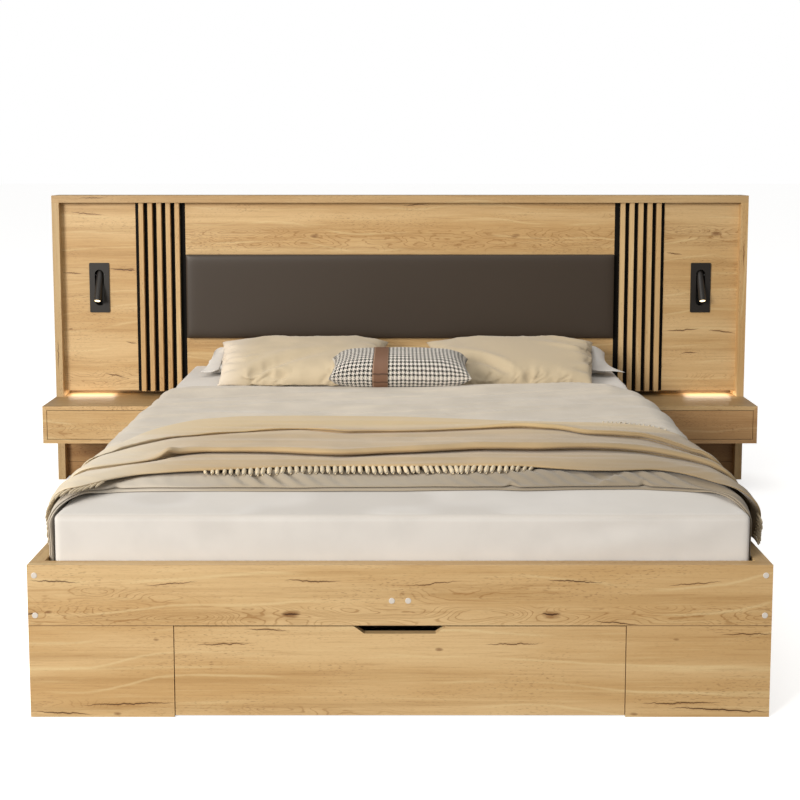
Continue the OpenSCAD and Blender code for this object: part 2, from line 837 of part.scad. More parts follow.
// A cloth over the bed from y0 over the length l: t thick, lying lift off the mattress, hanging to end_z
// and gathered into the given number of folds. Each hem sweeps towards the foot at the bed's sides,
// the foot hem the more suddenly the larger bend is
module bed_cloth(y0, l, t, lift, end_z, rows, folds, foot_sweep, bend, head_sweep) {
    function grid(extra) = [for (r = [0 : rows])
        let (v = r / rows, fold = folds > 0 ? fold_wave(v, folds) : 0,
             line = full_line(lift + (extra > 0 ? extra + fold * fold_h : 0), end_z, hang_out), n = len(line) - 1)
        [for (c = [0 : n])
            let (u = min(1, abs(line[c][0]) / mattress_x),
                 sweep = foot_sweep * pow(u, bend) * (1 - v) + head_sweep * pow(u, 4) * v)
            [line[c][0], y0 + l * v - sweep, line[c][1]]]];
    soft_shell(grid(t), grid(0));
}

// Height of a gathered fold, 0 to 1, at the share v of the cloth's length
function fold_wave(v, n) = v < 0.04 || v > 0.96 ? 0 : pow(abs(sin(180 * n * v)), 1.5);

// Duvet, folded double, from its foot hem up to the pillows
module duvet() {
    color(DUVET_GREY) bed_cloth(mattress_foot + duvet_start, duvet_l, duvet_t, TOUCH, bed_h + TOUCH,
                                12, 0, duvet_sweep, 10, 0);
}

// Throw over the duvet, gathered into long folds across the bed
module throw() {
    color(THROW_BEIGE) bed_cloth(mattress_foot + throw_start, throw_l, throw_t, duvet_t + 2 * TOUCH,
                                 bed_h + 2 * TOUCH, 14, 3, throw_sweep, 6, throw_head_sweep);
}

// White pillows pushed against the headboard
module back_pillows() {
    color("white") for (x = back_places)
        cushion([case_w, case_d, case_t], 0.5, 0, [x, mattress_head - case_d / 2], sheet_top, 12, 8);
}

// Cream pillow, its front edge on the mattress and its back raised over the white one
module pillow(x) {
    color(CREAM) cushion([pillow_w, pillow_d, pillow_t], 0.35, pillow_lean,
                         [x, mattress_head - pillow_set_in], sheet_top, 16, 10);
}

// Lumbar cushion lying back in front of the cream pillows
module lumbar_cushion() {
    color(CHECK_GREY) cushion([lumbar_w, lumbar_d, lumbar_t], 0.6, lumbar_lean,
                              [0, duvet_head + lumbar_set_in], duvet_top, 16, 8);
}

// ---- Light strips ----

// Aluminium channel behind a wing panel's lower edge, open downwards
module led_channels() {
    l = wing_w - 1.5 * batten_t;
    x = flute_out + batten_t / 2;
    color(STEEL) both_sides() difference() {
        board([x, panel_back, wing_z], [x + l, panel_back + led_w, wing_z + led_h]);
        board([x - EPS, panel_back + led_t, wing_z - EPS],
              [x + l + EPS, panel_back + led_w - led_t, wing_z + led_h - led_t]);
    }
}

// Opal cover in the mouth of each channel
module led_diffusers() {
    l = wing_w - 1.5 * batten_t;
    x = flute_out + batten_t / 2;
    color(WARM_LIGHT) both_sides()
        board([x, panel_back + led_t, wing_z + 0.4], [x + l, panel_back + led_w - led_t, wing_z + 2]);
}

// Closed power unit for each side's lights, on the back board inside the headboard
module power_units() {
    color(BLACK) both_sides()
        board([wing_mid - unit_l / 2, void_back - unit_d, wing_z + unit_z],
              [wing_mid + unit_l / 2, void_back, wing_z + unit_z + unit_h]);
}

// ---- Reading lamps ----

// Wall plate with the opening of the recess
module lamp_plate(s) {
    color(LAMP_BLACK) on_side(s) translate([wing_mid, 0, plate_z])
        along_y(panel_front - plate_t, plate_t) difference() {
            offset(r = 4, $fn = SMOOTH) square([plate_w - 8, plate_h - 8], center = true);
            stadium(niche_w, niche_h);
        }
}

// Cup behind the plate that the tube folds into, bored for the pivot pin
module lamp_cups() {
    color(LAMP_BLACK) both_sides() difference() {
        translate([wing_mid, 0, plate_z]) along_y(panel_front, niche_d + cup_t)
            stadium(niche_w + 2 * cup_t, niche_h + 2 * cup_t);
        translate([wing_mid, 0, plate_z]) along_y(panel_front - EPS, niche_d + EPS) stadium(niche_w, niche_h);
        translate([wing_mid - niche_w, pivot_y, pivot_z]) rotate([0, 90, 0])
            cylinder(d = pin_d + 2 * pin_play, h = 2 * niche_w, $fn = SMOOTH);
    }
}

module lamp_pins() {
    color(STEEL) both_sides() translate([wing_mid - niche_w / 2 - cup_t, pivot_y, pivot_z]) rotate([0, 90, 0])
        cylinder(d = pin_d, h = niche_w + 2 * cup_t, $fn = SMOOTH);
}

// Puts its children at the pivot, leaning out as in use
module at_pivot(s) {
    on_side(s) translate([wing_mid, pivot_y, pivot_z]) rotate([-tube_lean, 0, 0]) children();
}

// Tube with rounded top, a seat for the lens at its lower end and the pivot's cross bore
module lamp_tube(s) {
    edge = 3;
    seat = lens_t + 1;
    color(LAMP_BLACK) at_pivot(s) difference() {
        translate([0, 0, pivot_in - tube_l]) rotate_extrude($fn = SMOOTH) polygon(concat(
            [[0, seat], [lens_d / 2 + HOLE_PLAY, seat], [lens_d / 2 + HOLE_PLAY, 0], [tube_d / 2 - 0.5, 0],
             [tube_d / 2, 0.5]],
            [for (a = [0 : 15 : 90]) [tube_d / 2 - edge + edge * cos(a), tube_l - edge + edge * sin(a)]],
            [[0, tube_l]]));
        translate([-tube_d, 0, 0]) rotate([0, 90, 0])
            cylinder(d = pin_d + 2 * pin_play, h = 2 * tube_d, $fn = SMOOTH);
    }
}

module lamp_lens(s) {
    color(WARM_LIGHT) at_pivot(s) translate([0, 0, pivot_in - tube_l + 1])
        cylinder(d = lens_d, h = lens_t, $fn = SMOOTH);
}

// ---- Nightstands ----

// Cuts a board to pass inside the headboard's side frame
module frame_notch() {
    board([wing_out, frame_front, stand_low - EPS], [head_x + EPS, head_back, stand_z + EPS]);
}

// Top board, mitred at its outer edge and running back over the lower panel
module nightstand_top(s) {
    color(OAK) on_side(s) difference() {
        along_y(stand_front, void_back - stand_front)
            polygon([[stand_in, stand_z - stand_t], [head_x - stand_t, stand_z - stand_t],
                     [head_x, stand_z], [stand_in, stand_z]]);
        frame_notch();
    }
}

// Bottom board, mitred outer wall and the wall beside the bed
module nightstand_carcass(s) {
    color(OAK) on_side(s) {
        difference() {
            along_y(stand_front, void_back - stand_front)
                polygon([[stand_in, stand_low], [head_x - JOINT, stand_low],
                         [head_x - stand_t - JOINT, stand_low + stand_t], [stand_in, stand_low + stand_t]]);
            frame_notch();
        }
        along_y(stand_front, stand_out)
            polygon([[head_x, stand_low], [head_x, stand_z],
                     [head_x - stand_t, stand_z - stand_t], [head_x - stand_t, stand_low + stand_t]]);
        board([stand_in, stand_front, stand_low + stand_t + JOINT],
              [stand_wall_in, void_back, stand_z - stand_t]);
    }
}

// Inset drawer front with an even gap all round
module nightstand_front(s) {
    color(OAK) on_side(s) difference() {
        board([stand_wall_in + reveal, stand_front + front_set_back, stand_low + stand_t + reveal],
              [stand_wall_out - reveal, stand_front_back, stand_z - stand_t - reveal]);
        stand_groove();
    }
}

// Slot for the nightstand drawer's bottom
module stand_groove() {
    half = stand_box_t / 2;
    board([stand_box_in + half, stand_front_back - half, stand_box_z + groove_up],
          [stand_box_out - half, stand_drawer_back - half,
           stand_box_z + groove_up + stand_bottom_t + panel_play]);
}

// Sides, back and bottom of a nightstand's drawer box
module nightstand_box(s) {
    top = stand_box_z + stand_box_h;
    far_side = stand_box_out - stand_box_t;
    play = stand_box_t / 2 + panel_play;
    color(WHITE_BOARD) on_side(s) {
        for (x = [stand_box_in, far_side]) difference() {
            board([x, stand_front_back, stand_box_z], [x + stand_box_t, stand_drawer_back, top]);
            stand_groove();
        }
        difference() {
            board([stand_box_in + stand_box_t + JOINT, stand_drawer_back - stand_box_t, stand_box_z],
                  [far_side - JOINT, stand_drawer_back, top]);
            stand_groove();
        }
        board([stand_box_in + play, stand_front_back - play + 2 * panel_play, stand_box_z + groove_up],
              [stand_box_out - play, stand_drawer_back - play, stand_box_z + groove_up + stand_bottom_t]);
    }
}

module nightstand_slides(s) {
    color(STEEL) at_stand_slides(s) moving_slide(stand_slide_l, stand_slide_h);
}

footboard_rail();
foot_panels();
rail(-1);  // rail_left
rail(1);  // rail_right
side_panels();
slat_bearers();
centre_beam();
centre_legs();
bed_slats();
bay_boards();
corner_brackets();
rail_screws();
screw_caps();
foot_drawer_front();
foot_drawer_box();
foot_drawer_bottom();
foot_drawer_slides();
fixed_slides();
head_side(-1);  // head_side_left
head_side(1);  // head_side_right
head_top();
centre_panel();
slat_backings();
fluted_strips(-1);  // fluted_strips_left
fluted_strips(1);  // fluted_strips_right
wing_panel(-1);  // wing_panel_left
wing_panel(1);  // wing_panel_right
lower_panels();
head_battens();
back_boards();
pad_board();
headboard_pad();
led_channels();
led_diffusers();
power_units();
lamp_plate(-1);  // lamp_plate_left
lamp_plate(1);  // lamp_plate_right
lamp_cups();
lamp_pins();
lamp_tube(-1);  // lamp_tube_left
lamp_tube(1);  // lamp_tube_right
lamp_lens(-1);  // lamp_lens_left
lamp_lens(1);  // lamp_lens_right
nightstand_top(-1);  // nightstand_top_left
nightstand_top(1);  // nightstand_top_right
nightstand_carcass(-1);  // nightstand_carcass_left
nightstand_carcass(1);  // nightstand_carcass_right
nightstand_front(-1);  // nightstand_front_left
nightstand_front(1);  // nightstand_front_right
nightstand_box(-1);  // nightstand_box_left
nightstand_box(1);  // nightstand_box_right
nightstand_slides(-1);  // nightstand_slides_left
nightstand_slides(1);  // nightstand_slides_right
mattress();
duvet();
throw();
pillow(pillow_places[0]);  // pillow_left
pillow(pillow_places[1]);  // pillow_right
back_pillows();
lumbar_cushion();
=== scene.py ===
import math

import bpy
import numpy as np
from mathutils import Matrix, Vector


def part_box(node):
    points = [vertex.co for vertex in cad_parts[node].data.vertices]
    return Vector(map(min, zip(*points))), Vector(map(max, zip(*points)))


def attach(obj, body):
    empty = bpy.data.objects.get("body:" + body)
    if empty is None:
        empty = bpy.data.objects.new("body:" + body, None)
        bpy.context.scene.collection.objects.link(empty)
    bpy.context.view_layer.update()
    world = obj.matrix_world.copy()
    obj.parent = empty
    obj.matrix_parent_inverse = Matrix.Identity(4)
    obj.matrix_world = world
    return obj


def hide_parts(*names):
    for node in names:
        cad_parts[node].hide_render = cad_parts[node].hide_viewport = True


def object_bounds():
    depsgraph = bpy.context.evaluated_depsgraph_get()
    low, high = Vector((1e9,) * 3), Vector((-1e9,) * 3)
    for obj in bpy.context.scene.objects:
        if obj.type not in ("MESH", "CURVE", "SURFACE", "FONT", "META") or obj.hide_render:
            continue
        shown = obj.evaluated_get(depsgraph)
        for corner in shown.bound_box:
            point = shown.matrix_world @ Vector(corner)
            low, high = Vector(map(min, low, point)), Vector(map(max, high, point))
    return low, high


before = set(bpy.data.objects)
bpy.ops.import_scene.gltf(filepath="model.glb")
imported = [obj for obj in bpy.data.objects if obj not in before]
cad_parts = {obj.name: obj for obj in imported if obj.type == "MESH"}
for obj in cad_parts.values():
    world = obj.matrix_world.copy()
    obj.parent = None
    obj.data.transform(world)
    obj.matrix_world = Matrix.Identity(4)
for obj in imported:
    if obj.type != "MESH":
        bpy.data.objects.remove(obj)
cad_low, cad_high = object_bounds()

# ---- Footboard, rails and lower panels -----------------------------------------------------------
# 28 to 32 mm board faced with an oak print: pale honey ground, wavy figure, dark cracks and small knots.
# The boards are cut, edged on all sides and screwed together; the print runs along each board.


def colour(code):
    """A hex colour as the linear values that a shader takes."""
    parts = [int(code[i:i + 2], 16) / 255 for i in (1, 3, 5)]
    return [p / 12.92 if p <= 0.04045 else ((p + 0.055) / 1.055) ** 2.4 for p in parts] + [1]


class Value:
    """What a shader's socket gives: a number, a place or a colour. Numbers take + - * / and abs."""

    def __init__(self, socket):
        self.tree, self.socket = socket.id_data, socket

    def calc(self, operation, *others, clamp=False):
        inputs = dict(enumerate((self,) + others))
        return node(self.tree, "Math", inputs, operation=operation, use_clamp=clamp)[0]

    def __add__(self, other):
        return self.calc("ADD", other)

    def __sub__(self, other):
        return self.calc("SUBTRACT", other)

    def __rsub__(self, other):
        return self.calc("MULTIPLY_ADD", -1.0, other)

    def __mul__(self, other):
        return self.calc("MULTIPLY", other)

    def __truediv__(self, other):
        return self.calc("DIVIDE", other)

    def __rtruediv__(self, other):
        return node(self.tree, "Math", {0: other, 1: self}, operation="DIVIDE")[0]

    def __abs__(self):
        return self.calc("ABSOLUTE")


def node(tree, kind, inputs=None, **settings):
    """Adds a shader node and gives the list of its outputs. An input is a Value to link from, or a constant."""
    made = tree.nodes.new("ShaderNode" + kind)
    for key, setting in settings.items():
        setattr(made, key, setting)
    for key, given in (inputs or {}).items():
        if isinstance(given, Value):
            tree.links.new(given.socket, made.inputs[key])
        else:
            made.inputs[key].default_value = given
    return [Value(socket) for socket in made.outputs]


def mix(share, a, b, blend="MIX"):
    """The colour a with a share of b in it. The share or a is a Value."""
    tree = (share if isinstance(share, Value) else a).tree
    return node(tree, "Mix", {0: share, 6: a, 7: b}, data_type="RGBA", blend_type=blend)[2]


def ramp(value, low, high):
    """0 below low, 1 above high, smooth between."""
    return node(value.tree, "MapRange", {0: value, 1: low, 2: high}, interpolation_type="SMOOTHSTEP")[0]


def noise(place, scale, detail=2.0, roughness=0.5):
    """Noise whose grain is 1/scale metres along each axis."""
    place = node(place.tree, "VectorMath", {0: place, 1: scale}, operation="MULTIPLY")[0]
    return node(place.tree, "TexNoise",
                {"Vector": place, "Scale": 1.0, "Detail": detail, "Roughness": roughness})[0]


def new_material(name, code, roughness, **sockets):
    """A material with one finish: its base colour, roughness and any other socket of the shader."""
    made = bpy.data.materials.new(name)
    made.use_nodes = True
    shader = made.node_tree.nodes["Principled BSDF"]
    shader.inputs["Base Color"].default_value = colour(code)
    shader.inputs["Roughness"].default_value = roughness
    for key, value in sockets.items():
        shader.inputs[key.replace("_", " ")].default_value = value
    made.diffuse_color = colour(code)
    return made


def place_on(material, kind="Object"):
    """Where a point of the surface lies, in metres, or its UV or Normal."""
    return Value(material.node_tree.nodes.new("ShaderNodeTexCoord").outputs[kind])


def split(place):
    """A place's three coordinates."""
    return node(place.tree, "SeparateXYZ", {0: place})


def feed(material, socket, value):
    """Gives a socket of the material's shader a value that differs over the surface."""
    material.node_tree.links.new(value.socket, material.node_tree.nodes["Principled BSDF"].inputs[socket])


def mix_in_colour(material, share, tint):
    """Mixes a share of another colour into the base colour that the material has; most of its uses below paint
    light or shade.
    """
    base = material.node_tree.nodes["Principled BSDF"].inputs["Base Color"]
    feed(material, "Base Color", mix(share, Value(base.links[0].from_socket), tint))


def emboss(material, height, depth, strength):
    """Raises the surface by height, in units of depth metres."""
    bump = node(height.tree, "Bump", {"Height": height, "Distance": depth, "Strength": strength})[0]
    feed(material, "Normal", bump)


def finish(material, *names, smooth=0):
    """Gives CAD nodes a material, and smooth shading across edges flatter than so many degrees."""
    for name in names:
        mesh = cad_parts[name].data
        mesh.materials.clear()
        mesh.materials.append(material)
        if smooth:
            mesh.polygons.foreach_set("use_smooth", [True] * len(mesh.polygons))
            mesh.set_sharp_from_angle(angle=math.radians(smooth))


PALE, HONEY, DEEP, FLARE = colour("#d2b281"), colour("#c19c68"), colour("#a07a47"), colour("#dfc998")
RING, KNOT, SPLIT = colour("#8f622d"), colour("#6e431b"), colour("#40220a")
RING_PACE, RING_SWAY = 38.0, 27.0  # rings a metre across the board, and how far the figure bends them
CRACK_HALF = 0.42  # half of a crack's width, less its soft edge
JOINT_NEAR, JOINT_FAR = 0.0004, 0.0016


def crack(a, c, wobble, x, y, length, width, slope):
    """A dark crack, a thin lens along the grain, and the soft brown edge round it."""
    off = a - x
    share = off / (length / 2)
    taper = 1.0 - share * share
    away = abs(c - (off * slope + y) - wobble) / (width * CRACK_HALF)
    return (taper - away).calc("MULTIPLY", 2.5, clamp=True), taper.calc("SUBTRACT", away * 0.28, clamp=True)


def oak(name, nodes, along="X", across="Z", start=(0, 0, 0), cracks=(), knots=(), figures=(), joint=None,
        top=0.84, tone=None, rate=1.0):
    """Faces the nodes with an oak print along one axis. start shifts the pattern, so that boards differ. cracks
    are (along, across, length, width, slope), knots (along, across, size) and figures (across, half width) of
    ringed bands, in metres; joint is a dark line across; faces that look up are darker by the share top, a
    painted shade; tone multiplies the board's red, green and blue; rate is how close the rings lie."""
    made = new_material("oak_print_" + name, "#bc9e71", 0.5)
    finish(made, *nodes)
    tree = made.node_tree
    axes = dict(zip("XYZ", split(place_on(made))))
    a, c = axes.pop(along), axes.pop(across)
    place = node(tree, "CombineXYZ", {0: a, 1: c, 2: axes.popitem()[1]})[0]
    place = node(tree, "VectorMath", {0: place, 1: start}, operation="ADD")[0]

    broad = noise(place, (0.9, 8, 8), 3, 0.55)
    bands = noise(place, (0.7, 36, 36), 2, 0.6)
    field = noise(place, (4.4, 21, 21), 1.5, 0.4)
    pale_field = noise(place, (1.7, 2.5, 2.5), 1.5, 0.4)
    shiver = noise(place, (26, 95, 95), 2)
    streak = noise(place, (7, 260, 260), 3, 0.6)
    fleck = noise(place, (85, 430, 430), 1.5)
    patch = noise(place, (3, 12, 12), 1)

    grow = field * (RING_SWAY * rate) + c * (RING_PACE * rate) + shiver * 0.9
    knot_dark = None
    for x, y, size in knots:
        u, v = (a - x) / (size * 2.2), (c - y) / size
        far = u * u + v * v
        grow = grow + 3.5 / (far * 0.2 + 1.0)
        spot = (1.9 - shiver * 2.0).calc("SUBTRACT", far * 3.0, clamp=True)
        knot_dark = knot_dark.calc("MAXIMUM", spot) if knot_dark else spot
    ring = ramp(grow.calc("PINGPONG", 0.5), 0.35, 0.47)
    shade = ramp((grow * 0.37).calc("PINGPONG", 0.5), 0.1, 0.5)
    pale_grow = pale_field * 2.6 + c * 15.0 + shiver * 0.10
    pale_line = ramp(pale_grow.calc("PINGPONG", 0.5), 0.425, 0.492)
    ringed = ramp(noise(place, (1.3, 11, 11), 1), 0.58, 0.74)
    for y, half in figures:
        v = (c - y) / half
        ringed = ringed.calc("MAXIMUM", (v * v).calc("MULTIPLY_ADD", -1.0, 1.15, clamp=True))

    paint = mix(ramp(broad, 0.36, 0.64), HONEY, PALE)
    layers = [(ramp(bands, 0.50, 0.28) * 0.34, DEEP), (ramp(bands, 0.58, 0.75) * 0.40, FLARE),
              (shade * ringed * 0.22, DEEP), (ring * (ringed * 0.52 + 0.03), RING),
              (ramp(streak, 0.52, 0.72) * 0.26, RING), (ramp(streak, 0.45, 0.30) * 0.22, FLARE),
              (pale_line * ramp(noise(place, (4, 9, 9), 1), 0.40, 0.58) * 0.36, FLARE),
              (ramp(fleck, 0.57, 0.70) * (ramp(patch, 0.46, 0.66) * 0.36 + 0.10), KNOT)]
    if knot_dark:
        layers.append((knot_dark * 0.75, KNOT))
    wobble = noise(place, (42, 2, 2), 3, 0.65) * 0.011 - 0.0055
    depth = None
    for sizes in cracks:
        core, edge = crack(a, c, wobble, *sizes)
        layers += [(edge * 0.55, RING), (core * 0.92, SPLIT)]
        depth = depth.calc("MAXIMUM", core) if depth else core
    if joint:
        layers.append((ramp(abs(c - joint), JOINT_FAR, JOINT_NEAR) * 0.6, SPLIT))
    for share, tint in layers:
        paint = mix(share, paint, tint)
    # painted shade: faces that look up are darkened by the share top
    up = ramp(split(place_on(made, "Normal"))[2], 0.8, 0.95)
    paint = mix(up, paint, mix(1.0, paint, [top, top, top, 1], "MULTIPLY"))
    if tone:
        paint = mix(1.0, paint, [*tone, 1], "MULTIPLY")
    feed(made, "Base Color", paint)
    emboss(made, streak * 0.4 - depth if depth else streak * 0.4, 0.0003, 0.5)


# metres from the middle, above the floor
FOOT_CRACKS = [
    (-0.780, 0.318, 0.125, 0.0034, -0.04), (-0.517, 0.313, 0.135, 0.0022, 0.095),
    (-0.197, 0.319, 0.14, 0.0032, -0.045), (0.074, 0.313, 0.135, 0.0022, 0.095),
    (0.393, 0.318, 0.14, 0.0034, -0.04), (0.666, 0.313, 0.14, 0.0022, 0.09),
    (-0.397, 0.172, 0.145, 0.0028, 0.035), (0.257, 0.172, 0.145, 0.0028, 0.02),
    (0.790, 0.195, 0.14, 0.0028, 0.015), (-0.62, 0.031, 0.24, 0.0036, 0.03),
    (0.64, 0.033, 0.20, 0.0036, 0.015), (0.73, 0.017, 0.26, 0.0044, -0.05),
    (-0.77, 0.010, 0.15, 0.0036, -0.045), (-0.247, 0.242, 0.05, 0.0060, 0.0),
    (0.342, 0.241, 0.05, 0.0060, 0.0), (-0.835, 0.243, 0.04, 0.0040, 0.0),
    (-0.30, 0.205, 0.11, 0.0030, -0.06), (0.49, 0.222, 0.12, 0.0030, -0.08)]
FOOT_KNOTS = [(-0.247, 0.241, 0.020), (0.342, 0.240, 0.020), (-0.553, 0.182, 0.007), (0.089, 0.159, 0.008),
              (0.626, 0.183, 0.007), (-0.645, 0.008, 0.009), (0.532, 0.007, 0.009), (-0.795, 0.247, 0.008)]
oak("foot", ("footboard_rail", "foot_panels", "foot_drawer_front"), start=(9.6, 0.4, 0), cracks=FOOT_CRACKS,
    knots=FOOT_KNOTS, figures=[(0.238, 0.026)], joint=0.215, tone=(1.03, 1.04, 1.06))
oak("rail", ("rail_left", "rail_right", "side_panels"), "Y", "Z", (7.7, 1.3, 0), cracks=[
    (-0.4, 0.30, 0.16, 0.003, 0.03), (0.45, 0.27, 0.14, 0.003, -0.02), (0.1, 0.10, 0.2, 0.004, 0.02)])

# ---- Slatted base and hidden boards --------------------------------------------------------------
# Planed softwood slats, bearers, beam and legs, left bare; white melamine boards for the drawer bay and
# the drawer boxes; brown hardboard at the back; zinc-plated brackets, screws and slides.

finish(new_material("planed_softwood", "#e0c79b", 0.7),
       "slat_bearers", "centre_beam", "centre_legs", "bed_slats", "head_battens")
finish(new_material("white_melamine", "#ece7df", 0.45),
       "bay_boards", "foot_drawer_box", "foot_drawer_bottom", "nightstand_box_left", "nightstand_box_right")
finish(new_material("brown_hardboard", "#9a7a54", 0.75), "back_boards")
finish(new_material("zinc_plated_steel", "#a8abae", 0.35, Metallic=1.0),
       "corner_brackets", "rail_screws", "foot_drawer_slides", "fixed_slides", "lamp_pins",
       "nightstand_slides_left", "nightstand_slides_right", smooth=30)

# ---- Cover caps ----------------------------------------------------------------------------------
# White moulded caps pressed over the screw heads in the footboard.

finish(new_material("white_moulded_cap", "#d6cfc6", 0.4, IOR=1.49), "screw_caps", smooth=30)

# ---- Headboard -----------------------------------------------------------------------------------
# Frame boards with the same oak print, its grain upright at the sides and level on top; panels with level
# grain set back in the frame; black melamine behind upright oak strips.

oak("centre", ["centre_panel"], start=(11.2, 5.1, 0), cracks=[(0.062, 1.090, 0.11, 0.0035, 0.08)],
    knots=[(-0.334, 0.968, 0.017), (0.453, 0.968, 0.017)], figures=[(0.955, 0.050)], rate=0.55)
oak("wing_left", ["wing_panel_left"], start=(17.4, 2.2, 0), cracks=[
    (-1.288, 0.821, 0.085, 0.0040, -0.06), (-1.09, 0.835, 0.12, 0.0060, -0.08),
    (-1.062, 0.545, 0.05, 0.0035, -0.1), (-1.128, 0.414, 0.09, 0.0045, -0.22),
    (-1.226, 1.056, 0.14, 0.0035, -0.07)],
    knots=[(-1.06, 0.836, 0.012), (-1.30, 0.60, 0.008)], figures=[(0.40, 0.03)], rate=0.6)
oak("wing_right", ["wing_panel_right"], start=(23.9, 8.8, 0), cracks=[
    (1.078, 0.898, 0.07, 0.0040, -0.11), (1.117, 0.596, 0.15, 0.0045, 0.06),
    (1.272, 0.590, 0.12, 0.0045, -0.12), (1.145, 0.505, 0.07, 0.0040, 0.0)],
    knots=[(1.241, 0.977, 0.019)], figures=[(0.975, 0.05)], rate=0.6)
oak("upright", ["head_side_right", "fluted_strips_left", "fluted_strips_right"], "Z", "X", (5.5, 9.1, 0),
    cracks=[(0.9, 1.343, 0.12, 0.003, 0.0)])
oak("side", ["head_side_left"], "Z", "X", (14.3, 4.4, 0), cracks=[(0.5, -1.345, 0.14, 0.003, 0.01)],
    tone=(0.80, 0.81, 0.81))
oak("edge", ["head_top"], start=(37.5, 1.9, 0), cracks=[(-1.2, 1.118, 0.12, 0.003, 0.01)],
    tone=(0.79, 0.77, 0.75))
# painted shade: the tone darkens the lower panels under the nightstands
oak("lower", ["lower_panels"], start=(52.0, 7.1, 0), figures=[(0.11, 0.02)], tone=(0.60, 0.50, 0.40))
finish(new_material("black_melamine", "#080604", 0.7, Specular_IOR_Level=0.15), "slat_backings", "pad_board")

# ---- Upholstered panel ---------------------------------------------------------------------------
# Foam on a thin board, covered in smooth dark brown coated fabric drawn tight round the edges.


def shape(name, points, faces, material, uv=None):
    """A smooth mesh object from points and faces, with a UV for each point if given."""
    mesh = bpy.data.meshes.new(name)
    mesh.from_pydata([tuple(p) for p in points], [], [tuple(int(i) for i in f) for f in faces])
    mesh.polygons.foreach_set("use_smooth", [True] * len(mesh.polygons))
    mesh.materials.append(material)
    if uv is not None:
        layer = mesh.uv_layers.new(name="flat")
        index = np.zeros(len(mesh.loops), int)
        mesh.loops.foreach_get("vertex_index", index)
        layer.data.foreach_set("uv", np.asarray(uv, np.float32)[index].ravel())
    made = bpy.data.objects.new(name, mesh)
    bpy.context.scene.collection.objects.link(made)
    return made


def grid_faces(rows, cols, flip=False, ring=False):
    """Quads of a grid whose points run along its columns; ring joins the last row to the first."""
    r, c = np.meshgrid(np.arange(rows if ring else rows - 1), np.arange(cols - 1), indexing="ij")
    a, b = (r * cols + c).ravel(), (((r + 1) % rows) * cols + c).ravel()
    quads = np.stack([a, a + 1, b + 1, b], 1)
    return quads[:, ::-1] if flip else quads


def waves(x, y, seed):
    """Smooth random heights from -1 to 1, one cell per unit."""
    cells = 97
    table = np.random.RandomState(seed).rand(cells, cells)
    x, y = np.asarray(x, float) + 40, np.asarray(y, float) + 40
    i, j = np.floor(x).astype(int), np.floor(y).astype(int)
    u, v = x - i, y - j
    u, v = u * u * (3 - 2 * u), v * v * (3 - 2 * v)
    i, j, k, m = i % cells, j % cells, (i + 1) % cells, (j + 1) % cells
    low = table[i, j] * (1 - u) + table[k, j] * u
    high = table[i, m] * (1 - u) + table[k, m] * u
    return 2 * (low * (1 - v) + high * v) - 1


def bulge(t, power, share=0.5):
    """1 in the middle and 0 at -1 and 1: fuller as power grows, and rounder at the rim as share shrinks."""
    return (1 - abs(t) ** power) ** share


pad_brown = new_material("brown_coated_fabric", "#372c21", 0.5, IOR=1.5)
emboss(pad_brown, noise(place_on(pad_brown), (900, 900, 900), 2), 0.0002, 0.35)

PAD_COLS, PAD_ROWS, PAD_RIM = 241, 81, 0.007
low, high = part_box("headboard_pad")
u, v = np.meshgrid(*(np.sin(np.linspace(-1, 1, count) * math.pi / 2) for count in (PAD_COLS, PAD_ROWS)))
x = (low.x + high.x) / 2 + u * (high.x - low.x) / 2
z = (low.z + high.z) / 2 + v * (high.z - low.z) / 2
y = high.y - PAD_RIM - (high.y - low.y - PAD_RIM) * bulge(u, 60) * bulge(v, 14)
y -= 0.0004 * waves(x * 5, z * 7, 3)
front = np.stack([x, y, z], -1).reshape(-1, 3)
rear = np.stack([x, np.full_like(x, high.y), z], -1).reshape(-1, 3)
index = np.arange(len(front)).reshape(PAD_ROWS, PAD_COLS)
rim = np.concatenate([index[0], index[1:, -1], index[-1, -2::-1], index[-2:0:-1, 0]])
sides = np.stack([rim, np.roll(rim, -1), np.roll(rim, -1) + len(front), rim + len(front)], 1)[:, ::-1]
pad = shape("pad_cover", np.concatenate([front, rear]), np.concatenate([
    grid_faces(PAD_ROWS, PAD_COLS), grid_faces(PAD_ROWS, PAD_COLS, flip=True) + len(front), sides]), pad_brown)
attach(pad, "bed")
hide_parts("headboard_pad")

# ---- Reading lamps -------------------------------------------------------------------------------
# Powder-coated plate and tube, near black with a warm cast; the lens at the tube's lower end is lit.

finish(new_material("dark_powder_coat", "#1f1b17", 0.45, IOR=1.5),
       "lamp_plate_left", "lamp_plate_right", "lamp_cups", "lamp_tube_left", "lamp_tube_right", smooth=35)
finish(new_material("lit_lens", "#fff3d6", 0.3, Emission_Color=colour("#ffe2b0"), Emission_Strength=3.0),
       "lamp_lens_left", "lamp_lens_right")

# ---- Nightstands ---------------------------------------------------------------------------------
# The same oak print on 15 mm board, mitred at the outer edges, with an inset drawer front.

oak("stand_left", ["nightstand_front_left", "nightstand_carcass_left"], start=(31.0, 3.3, 0),
    tone=(1.02, 1.06, 1.12))
# painted shade: the right nightstand's print is darker and redder than the left's
oak("stand_right", ["nightstand_front_right", "nightstand_carcass_right"], start=(63.0, 8.3, 0),
    tone=(0.95, 0.87, 0.88))
# a stronger painted shade on the shelf tops' faces that look up
oak("shelf", ["nightstand_top_left", "nightstand_top_right"], "X", "Y", (41.3, 6.6, 0), top=0.60)

# ---- Light strips --------------------------------------------------------------------------------
# Anodised channel behind each wing panel's lower edge with a warm opal cover; it lights the shelf below.

finish(new_material("anodised_aluminium", "#b9bcbe", 0.35, Metallic=1.0), "led_channels")
finish(new_material("lit_opal_cover", "#ffe9b8", 0.5, Emission_Color=colour("#ffd796"), Emission_Strength=2.0),
       "led_diffusers")
finish(new_material("black_moulded_case", "#1d1b1a", 0.5), "power_units")

